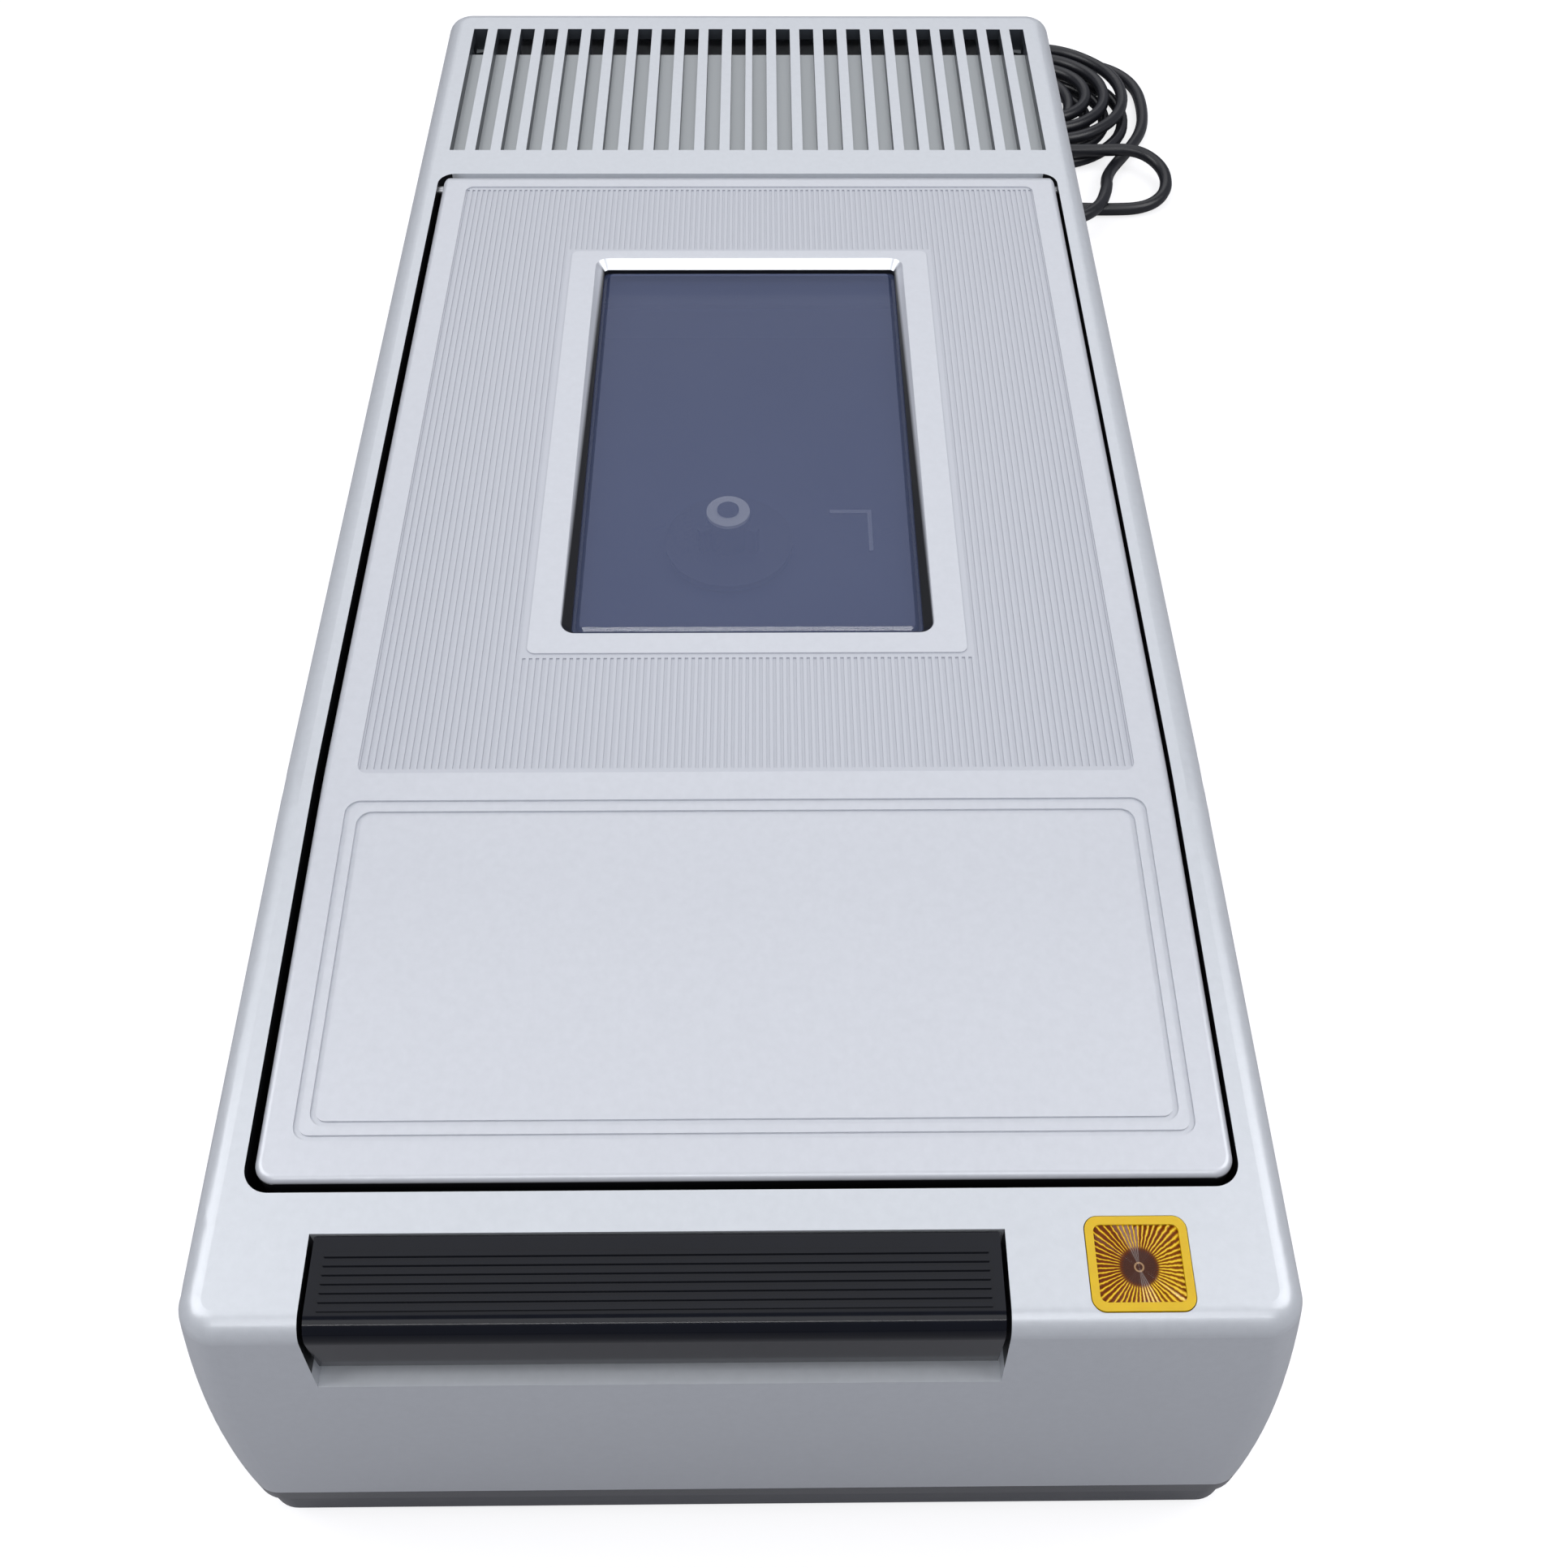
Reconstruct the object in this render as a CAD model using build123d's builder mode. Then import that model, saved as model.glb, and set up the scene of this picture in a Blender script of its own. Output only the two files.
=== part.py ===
"""Video cassette rewinder: a slim mains powered box with a hinged, glazed lid over the cassette bay.

Millimetres, +Z up, +X to the right and +Y to the rear. The origin is the middle of the
footprint, on the surface that the rubber feet stand on.
"""

from build123d import *
from math import acos, atan2, cos, degrees, dist, pi, radians, sin, tan
import os

# ---- case --------------------------------------------------------------------------------
width = 139.0  # across, at the parting line
length = 295.0  # front to rear, at the parting line
height = 71.0  # flat rear part of the top
parting_height = 10.0  # dark lower shell below, silver upper shell above
wall_lean = 5.0  # how far each side wall curves in on its way up
corner_radius = 5.0  # upright corners
rim_radius = 3.4  # rounded edge round the top
wall = 2.3
slope_start = -67.0  # the top falls away in front of this
slope_angle = 3.8
slope_blend = 150.0  # radius of the bend where the slope starts
foot_height = 1.5
foot_radius = 6.0
foot_recess = 1.0
foot_x = 52.0
foot_y = 128.0
base_inset = 0.6  # lower shell stands in from the upper one
base_floor = 2.3
lip_thickness = 1.2
lip_height = 2.0
fit = 0.15  # clearance of parts that slot together
press = 0.02  # bore over the pin or shaft that sits fast in it
touch = 0.05
seat_play = 0.1
slot_play = 0.4  # on each side of a lever or leg in its slot
corner_zone = 12.0  # edges nearer the outside than this belong to the rim and corners
foot_chamfer = 0.4
# ---- screws ------------------------------------------------------------------------------
screw_radius = 1.45
screw_head_radius = 2.9
screw_head_height = 2.0
pilot_radius = 1.5
pilot_depth = 16.0
screw_play = 0.2
head_play = 0.3
deck_pilot_depth = 12.0
deck_post_radius = 3.5
boss_radius = 4.0
case_screw_x = 59.5
case_screw_y = 137.5
case_screw_seat = 8.5
# ---- lid ---------------------------------------------------------------------------------
opening_half_width = 60.0
opening_front = -126.8
opening_rear = 80.4
opening_corner = 3.2
lid_side_gap = 0.8
lid_front_gap = 1.2
lid_rear_gap = 0.4
lid_rise = 0.35  # stands proud of the case
lid_shift = 0.3  # and sits a little to the right in its opening
lid_thickness = 2.4
lid_skirt = 1.8
lid_skirt_bottom = 62.5
lid_rim_radius = 1.0
skirt_wall = 1.6
skirt_drop = 0.4
hinge_pin_radius = 1.0
hinge_pin_length = 7.6
hinge_boss_radius = 2.1
hinge_boss_length = 3.0
lid_boss_length = 4.6
lid_boss_inset = 0.2
lid_corner = 2.6
lid_rear_corner = 4.2  # in plan, so that it turns clear of the opening's corner
lid_back_radius = 2.4  # the rear edge turns about its own centre
field_half_width = 54.5
field_rear = 75.5
field_front = -66.9
field_depth = 0.2
rib_pitch = 1.0
rib_gap = 0.5
rib_depth = 0.2
rib_margin = 0.8
field_corner = 1.5
frame_corner = 1.2
frame_half_width = 32.7
frame_rear = 54.7
frame_front = -44.7
glass_half_width = 26.7
glass_rear = 51.1
glass_front = -39.3
glass_bevel = 1.45  # the frame's edge slopes in by this much
glass_bevel_depth = 1.55
glass_flange = 2.8  # the pane's rim under the lid
glass_thickness = 1.9
glass_gap = 0.6  # round the raised middle of the pane
glass_chamfer = 0.6
glass_corner = 2.4
panel_half_width = 55.2
panel_rear = -71.5
panel_front = -120.5
panel_groove = 0.7
panel_groove_depth = 0.35
panel_line_spacing = 1.8
panel_corner = 2.0
# ---- vents -------------------------------------------------------------------------------
vent_count = 12  # on each side of the middle rib
vent_pitch = 5.03
vent_first = 2.2
vent_width = 3.0
vent_front = 88.6
vent_rear = 135.0
vent_slot_front = 128.6  # the groove goes right through behind this
vent_depth = 2.3
vent_backing = 1.3  # the top is thicker by this much under the vents
# ---- eject bar and latch -----------------------------------------------------------------
recess_left = -51.0
recess_right = 31.0
recess_rear = -131.8
ledge_height = 52.3
pocket_wall = 2.0
bar_end_gap = 0.6
bar_rear_gap = 0.3
bar_front = -143.6
bar_bottom = 55.4
bar_wall = 1.8
bar_crest_radius = 3.0
bar_drop = 0.2
bar_rib_count = 7
bar_rib_pitch = 1.05
bar_rib_height = 0.35
bar_rib_width = 0.5
bar_rib_end = 1.5
bar_rib_rear = -134.3
bar_leg_spacing = 50.0
bar_leg_width = 5.0
bar_leg_depth = 2.0
bar_leg_y = -137.0
bar_leg_bottom = 46.0
barb = 1.0
latch_x = -10.0
latch_width = 11.2
latch_pivot_y = -128.5
latch_pivot_z = 46.5
latch_pin_radius = 1.0
latch_barrel_radius = 2.4
latch_arm_rear = -126.9
latch_arm_thickness = 2.0
latch_arm_top = 59.2
latch_foot_front = -142.2
latch_foot_thickness = 2.4
nose_bottom = 56.2
nose_top = 58.8
nose_reach = 0.8
nose_width = 4.4
pusher_y = -141.2
pusher_depth = 1.2
pusher_width = 8.0
pusher_bottom = 47.9
pin_boss = 4.0
striker_width = 10.0
striker_bottom = 53.6
striker_window_bottom = 56.0
striker_window_top = 59.6
striker_window_width = 5.6
latch_headroom = 1.5
spring_strip = 0.4
spring_width = 6.0
spring_shelf = 35.0
spring_foot = (-140.7, -131.0)  # along Y, front and rear
spring_head = (-139.2, -134.0)
spring_bend = 1.2
# ---- lamp and lens -----------------------------------------------------------------------
lens_x = 46.45
lens_y = -135.95
lens_width = 12.3
lens_depth = 11.3
lens_corner = 1.7
lens_rim = 1.1
lens_thickness = 2.6
lens_dish = 0.5
lens_rise = 0.1
lens_seat = 0.9
well_wall = 1.2
well_floor = 54.5
well_floor_thickness = 1.5
lamp_radius = 2.5
lamp_height = 60.5
lamp_flange = 1.2
lamp_lead_radius = 0.4
lamp_lead_length = 5.0
# ---- deck --------------------------------------------------------------------------------
deck_bottom = 31.0
deck_thickness = 2.0
tray_half_width = 57.0
tray_front = -127.2
tray_rear = 79.0
tray_wall = 1.6
tray_corner = 2.0
tray_top = 60.8
cassette_width = 103.0
cassette_y = -30.2
cassette_seat = 35.5
seat_pad_radius = 3.0
seat_pad_x = 40.0
seat_pad_y = 78.0
ear_x = 61.5
ear_front_y = -95.0
ear_rear_y = 62.0
ear_length = 10.0
mark_x = 23.5
mark_y = 26.0
mark_long = 11.0
mark_short = 8.0
mark_width = 0.8
mark_height = 0.4
brake_pin_x = 21.0
brake_pin_radius = 2.0
brake_pin_top = 44.0
# ---- cassette holder ---------------------------------------------------------------------
holder_sheet = 1.2
holder_side_gap = 0.9
holder_front = -122.5
holder_rear = 66.0
holder_flange = 6.4
holder_bottom = 33.8
holder_strap_height = 62.0
holder_strap = 14.0
holder_screw_x = 44.0
holder_front_strap_y = -111.0
holder_rear_strap_y = 57.0
holder_post_radius = 3.0
holder_pilot_depth = 3.5
holder_head_height = 1.2
hold_down_x = 37.0
hold_down_width = 8.0
hold_down_rear = 44.0
hold_down_bend = 34.0
hold_down_low = 63.2
hold_down_tip = 6.0
strip = 0.5
# ---- drive train -------------------------------------------------------------------------
spindle_x = -3.8
hub_spacing = 91.5
shaft_radius = 2.5
running_clearance = 0.05
hub_radius = 4.0
hub_top = 43.0
hub_button_radius = 2.0
hub_button_height = 0.5
hub_fin_radius = 6.2
hub_fin_top = 41.0
hub_fin_width = 1.3
hub_flange_radius = 12.0
hub_flange_bottom = 34.2
hub_flange_thickness = 1.4
bearing_radius = 5.0
bearing_bottom = 28.8
gear_module = 1.0
pressure_angle = 20.0
backlash = 0.24
dedendum = 1.25
tooth_root = 0.4  # how deep a tooth is let into the blank
gear_rim = 3.5
drive_teeth = 48
pinion_teeth = 16
gear_bottom = 24.0
gear_thickness = 4.0
mesh_angle = 45.0
axle_radius = 1.5
axle_bottom = 14.6
axle_cover = 0.8  # of the deck above it
axle_boss_drop = 1.1
collar_play = 0.2
collar_radius = 4.4
collar_thickness = 1.2
pulley_radius = 20.0  # belt seat of the large pulley
pulley_rim = 1.4
pulley_bottom = 16.8
pulley_width = 5.2
pulley_web = 2.2
belt_size = 1.8
motor_x = 30.0
motor_y = 102.0
motor_radius = 16.0
motor_bottom = 25.8
motor_height = 26.0
motor_edge = 1.5
motor_shaft_radius = 1.0
motor_shaft_depth = 12.0
motor_nose_radius = 5.0
motor_pulley_radius = 4.0  # belt seat of the small pulley
motor_pulley_rim = 1.0
motor_pulley_inset = 0.4
bracket_thickness = 1.5
bracket_length = 50.0
bracket_width = 26.0
bracket_screw_spacing = 42.0
# ---- power supply ------------------------------------------------------------------------
core_x = -38.0
core_y = 112.0
core_width = 41.0
core_height = 34.0
core_stack = 14.5
core_leg = 13.0
core_window = 7.2
core_window_height = 20.8
coil_depth = 32.0
coil_corner = 3.0
core_play = 0.15
clamp_sheet = 1.2
clamp_foot = 7.0
clamp_hole_inset = 2.8
board_x = 24.0
board_y = 131.0
board_length = 56.0
board_width = 20.0
board_bottom = 8.0
board_thickness = 1.6
board_post_radius = 2.5
capacitor_inset = 18.0
capacitor_radius = 6.3
capacitor_height = 20.0
capacitor_edge = 0.8
fuse_x = 6.0
fuse_y = 5.0
fuse_lift = 4.0
fuse_radius = 2.6
fuse_length = 20.0
fuse_clip_length = 4.0
fuse_clip_width = 6.4
fuse_clip_x = 7.5
diode_count = 4
diode_pitch = 6.0
diode_y = -5.0
diode_lift = 1.4
diode_radius = 1.35
diode_length = 5.0
diode_lead_radius = 0.4
diode_lead_span = 4.2
diode_lead_width = 0.7
# ---- start lever -------------------------------------------------------------------------
lever_x = 30.0
lever_y = -96.0
lever_pivot_z = 27.0
lever_width = 5.0
lever_reach = 14.0
lever_top = 37.0
lever_bar = 2.0
ear_sheet = 1.6
ear_depth = 6.0
lever_slot_extra = 7.0
lever_heel = 1.8
lever_belly = 0.6
lever_nose = 1.5
switch_width = 7.0
switch_length = 12.0
switch_height = 7.4
leaf_width = 4.0
leaf_length = 10.0
leaf_sheet = 0.4
# ---- cord --------------------------------------------------------------------------------
cord_diameter = 3.2
relief_x = -10.0
relief_length = 22.0
relief_root_radius = 3.9
relief_tip_radius = 2.4
relief_neck_radius = 4.0
relief_flange_radius = 5.4
relief_flange = 2.0
relief_collar = 1.5
relief_shoulder = 2.5
hank_y = 221.0
hank_right = 80.0
hank_left = 28.0
hank_turns = 4  # side by side in each of the two layers
hank_outer_radius = 26.0
hank_step = 5.1  # between neighbouring strands at the ends
waist_step = 5.0  # and where the tie draws them in
layer_step = 4.0
climb_inset = 2.0  # the turn between the layers ends short of the others
end_lift = 1.7  # middle of the lower layer at the ends
waist_lift = 2.7  # and where it lies on the tie
tie_thickness = 0.8
tie_width = 5.0
tie_play = 0.4
tie_corner = 2.0
bend_share = 0.45  # of a run that its arc may take
plug_length = 24.0
plug_width = 18.0
plug_height = 12.0
plug_x = 40.0
plug_y = 161.0
blade_length = 17.5
blade_height = 6.35
blade_thickness = 1.5
blade_spacing = 12.7
blade_hole_inset = 4.5
blade_hole_radius = 1.6
plug_collar = 6.0
plug_collar_radius = 2.8
plug_corner = 3.5
plug_edge = 2.0


stand = (Align.CENTER, Align.CENTER, Align.MIN)
hang = (Align.CENTER, Align.CENTER, Align.MAX)
along_x = (0, 90, 0)
along_y = (90, 0, 0)


def top_at(y):
    """Height of the top surface at y."""
    return height - max(0.0, slope_start - y) * tan(radians(slope_angle))


def space_above(rise):
    """Everything above the top surface moved up by rise, to trim pieces that follow it."""
    far = length
    bend_start = slope_start + slope_blend * tan(radians(slope_angle / 2))
    with BuildPart() as space:
        with BuildSketch(Plane.YZ):
            with BuildLine():
                flat = Line((far, height + rise), (bend_start, height + rise))
                bend = JernArc(flat @ 1, flat % 1, slope_blend, slope_angle)
                slope = Line(bend @ 1, bend @ 1 + (bend % 1) * far)
                Polyline(slope @ 1, (-2 * far, 2 * height), (far, 2 * height), flat @ 0)
            make_face()
        extrude(amount=width, both=True)
    return space.part


def leaning_profile(plane, half_span):
    """Upright up to the parting line, then leaning in on an arc, up to the top's height."""
    foot = parting_height - lip_height
    with BuildSketch(plane) as profile:
        with BuildLine():
            left = TangentArc(
                (-half_span, parting_height), (-half_span + wall_lean, height), tangent=(0, 1)
            )
            right = TangentArc(
                (half_span, parting_height), (half_span - wall_lean, height), tangent=(0, 1)
            )
            Line(left @ 1, right @ 1)
            Polyline(left @ 0, (-half_span, foot), (half_span, foot), right @ 0)
        make_face()
    return profile.sketch


def case_block(inset):
    """The upper shell's outer form, or with an inset the hollow inside it."""
    with BuildPart() as block:
        extrude(leaning_profile(Plane.XZ, width / 2 - inset), amount=length, both=True)
        extrude(
            leaning_profile(Plane.YZ, length / 2 - inset), amount=width, both=True, mode=Mode.INTERSECT
        )
        add(space_above(-inset), mode=Mode.SUBTRACT)
        corners = block.edges().filter_by(
            lambda edge: abs(edge.center().X) > width / 2 - corner_zone
            and abs(edge.center().Y) > length / 2 - corner_zone
            and edge.bounding_box().size.Z > lip_height / 2
        )
        fillet(corners, radius=corner_radius - inset)
        rim = block.edges().filter_by(
            lambda edge: edge.center().Z > top_at(-length / 2) - inset - 1
            and (
                abs(edge.center().X) > width / 2 - corner_zone
                or abs(edge.center().Y) > length / 2 - corner_zone
            )
        )
        fillet(rim, radius=rim_radius - inset)
    return block.part


def rounded_slab(half_width, front, rear, corner, bottom, top):
    """Upright block with rounded corners, symmetric about the middle plane."""
    with BuildPart() as slab:
        with BuildSketch(Plane.XY.offset(bottom)):
            with Locations((0, (front + rear) / 2)):
                RectangleRounded(2 * half_width, rear - front, corner)
        extrude(amount=top - bottom)
    return slab.part


# ---- upper housing -----------------------------------------------------------------------
case_screw_sites = [(x, y) for x in (-case_screw_x, case_screw_x) for y in (-case_screw_y, case_screw_y)]
lid_rear = opening_rear - lid_rear_gap
lid_front = opening_front + lid_front_gap
lid_half_width = opening_half_width - lid_side_gap
hinge_y = lid_rear - lid_back_radius
hinge_z = height + lid_rise - lid_back_radius
boss_foot = parting_height + lip_height
hinge_pin_middle = opening_half_width + hinge_boss_length - hinge_pin_length / 2
bar_left = recess_left + bar_end_gap
bar_right = recess_right - bar_end_gap
bar_leg_xs = [(bar_left + bar_right) / 2 + side * bar_leg_spacing / 2 for side in (-1, 1)]
vent_xs = [side * (vent_first + i * vent_pitch) for side in (-1, 1) for i in range(vent_count)]

outer_form = case_block(0)

with BuildPart() as front_pocket:
    # walls round the eject bar's recess, cut from the case's outer form
    add(outer_form)
    with Locations(((recess_left + recess_right) / 2, recess_rear + pocket_wall, ledge_height - pocket_wall)):
        Box(
            recess_right - recess_left + 2 * pocket_wall,
            length,
            height,
            align=(Align.CENTER, Align.MAX, Align.MIN),
            mode=Mode.INTERSECT,
        )

with BuildPart() as light_well:
    # box that carries the lens and the lamp, joined to the front wall
    add(outer_form)
    with Locations((lens_x, lens_y + lens_depth / 2 + well_wall, well_floor)):
        Box(
            lens_width + 2 * well_wall,
            length,
            height,
            align=(Align.CENTER, Align.MAX, Align.MIN),
            mode=Mode.INTERSECT,
        )

with BuildPart() as hinge_blocks:
    # bosses beside the opening, kept inside the case's outer form
    for side in (-1, 1):
        with Locations((side * (opening_half_width + hinge_boss_length / 2), hinge_y, hinge_z)):
            Cylinder(hinge_boss_radius, hinge_boss_length, rotation=along_x)
    add(outer_form, mode=Mode.INTERSECT)

with BuildPart() as opening_skirt:
    # the top wall turns down round the lid opening
    add(outer_form)
    add(
        rounded_slab(
            opening_half_width + skirt_wall,
            opening_front - skirt_wall,
            opening_rear + skirt_wall,
            opening_corner + skirt_wall,
            lid_skirt_bottom - skirt_drop,
            2 * height,
        ),
        mode=Mode.INTERSECT,
    )

with BuildPart() as upper_housing:
    add(outer_form)
    add(case_block(wall), mode=Mode.SUBTRACT)
    add(front_pocket.part)
    add(light_well.part)
    add(opening_skirt.part)
    with Locations((0, (vent_front + vent_slot_front) / 2, height - wall / 2)):
        Box(
            2 * (vent_first + vent_count * vent_pitch),
            vent_slot_front - vent_front + 2 * wall,
            wall / 2 + vent_backing,
            align=hang,
        )
    for x, y in case_screw_sites:
        with Locations((x, y, boss_foot)):
            Cylinder(boss_radius, top_at(y) - wall / 2 - boss_foot, align=stand)
    # lid opening
    add(
        rounded_slab(
            opening_half_width, opening_front, opening_rear, opening_corner, ledge_height, 2 * height
        ),
        mode=Mode.SUBTRACT,
    )
    # hinge bosses beside it, with their pin holes
    add(hinge_blocks.part)
    with Locations([(side * hinge_pin_middle, hinge_y, hinge_z) for side in (-1, 1)]):
        Cylinder(hinge_pin_radius + press, hinge_pin_length, rotation=along_x, mode=Mode.SUBTRACT)
    # eject bar's recess, open to the top and the front
    with Locations(((recess_left + recess_right) / 2, recess_rear, ledge_height)):
        Box(
            recess_right - recess_left,
            length,
            height,
            align=(Align.CENTER, Align.MAX, Align.MIN),
            mode=Mode.SUBTRACT,
        )
    with Locations([(x, bar_leg_y - barb / 2, ledge_height) for x in bar_leg_xs]):
        Box(
            bar_leg_width + 2 * slot_play,
            bar_leg_depth + barb + 2 * slot_play,
            3 * pocket_wall,
            mode=Mode.SUBTRACT,
        )
    with Locations((latch_x, pusher_y, ledge_height)):
        Box(
            pusher_width + 2 * slot_play,
            pusher_depth + 2 * slot_play,
            3 * pocket_wall,
            mode=Mode.SUBTRACT,
        )
    with Locations((latch_x, recess_rear + pocket_wall, ledge_height - pocket_wall)):
        Box(
            latch_width + 3 * slot_play,
            4 * pocket_wall,
            latch_arm_top + latch_headroom - ledge_height + pocket_wall,
            align=(Align.CENTER, Align.CENTER, Align.MIN),
            mode=Mode.SUBTRACT,
        )
    # lens seat, light well and lamp hole
    with BuildSketch(Plane.XY.offset(well_floor + well_floor_thickness)):
        with Locations((lens_x, lens_y)):
            RectangleRounded(lens_width - 2 * lens_seat, lens_depth - 2 * lens_seat, lens_corner / 2)
    extrude(amount=height, mode=Mode.SUBTRACT)
    with BuildSketch(Plane.XY.offset(top_at(lens_y) - lens_thickness)):
        with Locations((lens_x, lens_y)):
            RectangleRounded(lens_width, lens_depth, lens_corner)
    extrude(amount=height, mode=Mode.SUBTRACT)
    with Locations((lens_x, lens_y, well_floor)):
        Cylinder(lamp_radius + touch, 4 * well_floor_thickness, mode=Mode.SUBTRACT)
    # vents: a shallow groove each, open right through at its rear end
    with Locations([(x, (vent_front + vent_rear) / 2, height) for x in vent_xs]):
        Box(vent_width, vent_rear - vent_front, 2 * vent_depth, mode=Mode.SUBTRACT)
    with Locations([(x, (vent_slot_front + vent_rear) / 2, height) for x in vent_xs]):
        Box(vent_width, vent_rear - vent_slot_front, 4 * wall, mode=Mode.SUBTRACT)
    # pilot holes for the case screws
    with Locations([(x, y, boss_foot) for x, y in case_screw_sites]):
        Cylinder(pilot_radius, pilot_depth, align=stand, mode=Mode.SUBTRACT)
    # cord outlet, half in each shell
    with Locations((relief_x, length / 2, parting_height)):
        Cylinder(relief_neck_radius, 6 * wall, rotation=along_y, mode=Mode.SUBTRACT)
    split(bisect_by=Plane.XY.offset(parting_height), keep=Keep.TOP)

# ---- lower housing -----------------------------------------------------------------------
deck_screw_sites = [(side * ear_x, y) for side in (-1, 1) for y in (ear_front_y, ear_rear_y)]
bracket_screw_sites = [(motor_x + side * bracket_screw_spacing / 2, motor_y) for side in (-1, 1)]
board_post_sites = [
    (board_x + i * (board_length / 2 - 4), board_y + j * (board_width / 2 - 3))
    for i in (-1, 1)
    for j in (-1, 1)
]
bracket_bottom = motor_bottom - bracket_thickness
lip_inset = wall + fit
floor_top = foot_height + base_floor

with BuildPart() as lower_housing:
    add(
        rounded_slab(
            width / 2 - base_inset,
            base_inset - length / 2,
            length / 2 - base_inset,
            corner_radius - base_inset,
            foot_height,
            parting_height,
        )
    )
    fillet(lower_housing.faces().sort_by(Axis.Z)[0].edges(), radius=1.0)
    add(
        rounded_slab(
            width / 2 - lip_inset,
            lip_inset - length / 2,
            length / 2 - lip_inset,
            corner_radius - lip_inset,
            parting_height - lip_height,
            parting_height + lip_height,
        )
    )
    add(
        rounded_slab(
            width / 2 - lip_inset - lip_thickness,
            lip_inset + lip_thickness - length / 2,
            length / 2 - lip_inset - lip_thickness,
            corner_radius - lip_inset - lip_thickness,
            floor_top,
            height,
        ),
        mode=Mode.SUBTRACT,
    )
    # posts: case screws, deck, motor bracket, circuit board
    with Locations([(x, y, foot_height) for x, y in case_screw_sites]):
        Cylinder(boss_radius + 0.5, boss_foot - foot_height, align=stand)
    with Locations([(x, y, foot_height) for x, y in deck_screw_sites]):
        Cylinder(deck_post_radius, deck_bottom - foot_height, align=stand)
    with Locations([(x, y, foot_height) for x, y in bracket_screw_sites]):
        Cylinder(deck_post_radius, bracket_bottom - foot_height, align=stand)
    with Locations([(x, y, foot_height) for x, y in board_post_sites]):
        Cylinder(board_post_radius, board_bottom - foot_height, align=stand)
    with Locations([(x, y, foot_height) for x, y in case_screw_sites]):
        Cylinder(screw_radius + screw_play, height, align=stand, mode=Mode.SUBTRACT)
        Cylinder(
            screw_head_radius + head_play, case_screw_seat - foot_height, align=stand, mode=Mode.SUBTRACT
        )
    with Locations([(x, y, deck_bottom - deck_pilot_depth) for x, y in deck_screw_sites]):
        Cylinder(pilot_radius, height, align=stand, mode=Mode.SUBTRACT)
    with Locations([(x, y, bracket_bottom - deck_pilot_depth) for x, y in bracket_screw_sites]):
        Cylinder(pilot_radius, height, align=stand, mode=Mode.SUBTRACT)
    # seats of the rubber feet
    with Locations([(i * foot_x, j * foot_y, foot_height) for i in (-1, 1) for j in (-1, 1)]):
        Cylinder(foot_radius + seat_play, foot_recess, align=stand, mode=Mode.SUBTRACT)
    with Locations((relief_x, length / 2, parting_height)):
        Cylinder(relief_neck_radius, 6 * wall, rotation=along_y, mode=Mode.SUBTRACT)

with BuildPart() as rubber_feet:
    with Locations([(i * foot_x, j * foot_y, 0) for i in (-1, 1) for j in (-1, 1)]):
        Cylinder(foot_radius, foot_height + foot_recess, align=stand)
    chamfer(rubber_feet.edges().group_by(Axis.Z)[0], length=foot_chamfer)


def screws(sites, seat, shank_length, upward):
    """Pan head screws at the sites: the shank runs up or down from the seat."""
    head_side, shank_side = (hang, stand) if upward else (stand, hang)
    with BuildPart() as group:
        with Locations([(x, y, seat) for x, y in sites]):
            Cylinder(screw_head_radius, screw_head_height, align=head_side)
            Cylinder(screw_radius, shank_length, align=shank_side)
    return group


case_shank = boss_foot + pilot_depth - 3 - case_screw_seat
housing_screws = screws(case_screw_sites, case_screw_seat, case_shank, True)
deck_screws = screws(deck_screw_sites, deck_bottom + deck_thickness, deck_pilot_depth, False)
bracket_screws = screws(bracket_screw_sites, motor_bottom, deck_pilot_depth, False)

# ---- deck tray ---------------------------------------------------------------------------
deck_top = deck_bottom + deck_thickness
drive_hub = (spindle_x, cassette_y + hub_spacing / 2)
idle_hub = (spindle_x, cassette_y - hub_spacing / 2)
mesh_distance = gear_module * (drive_teeth + pinion_teeth) / 2
reduction_axis = (
    drive_hub[0] + mesh_distance * cos(radians(mesh_angle)),
    drive_hub[1] + mesh_distance * sin(radians(mesh_angle)),
)
collar_top = hub_flange_bottom - seat_play
axle_top = deck_top - axle_cover
axle_boss_bottom = deck_bottom - axle_boss_drop

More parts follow.
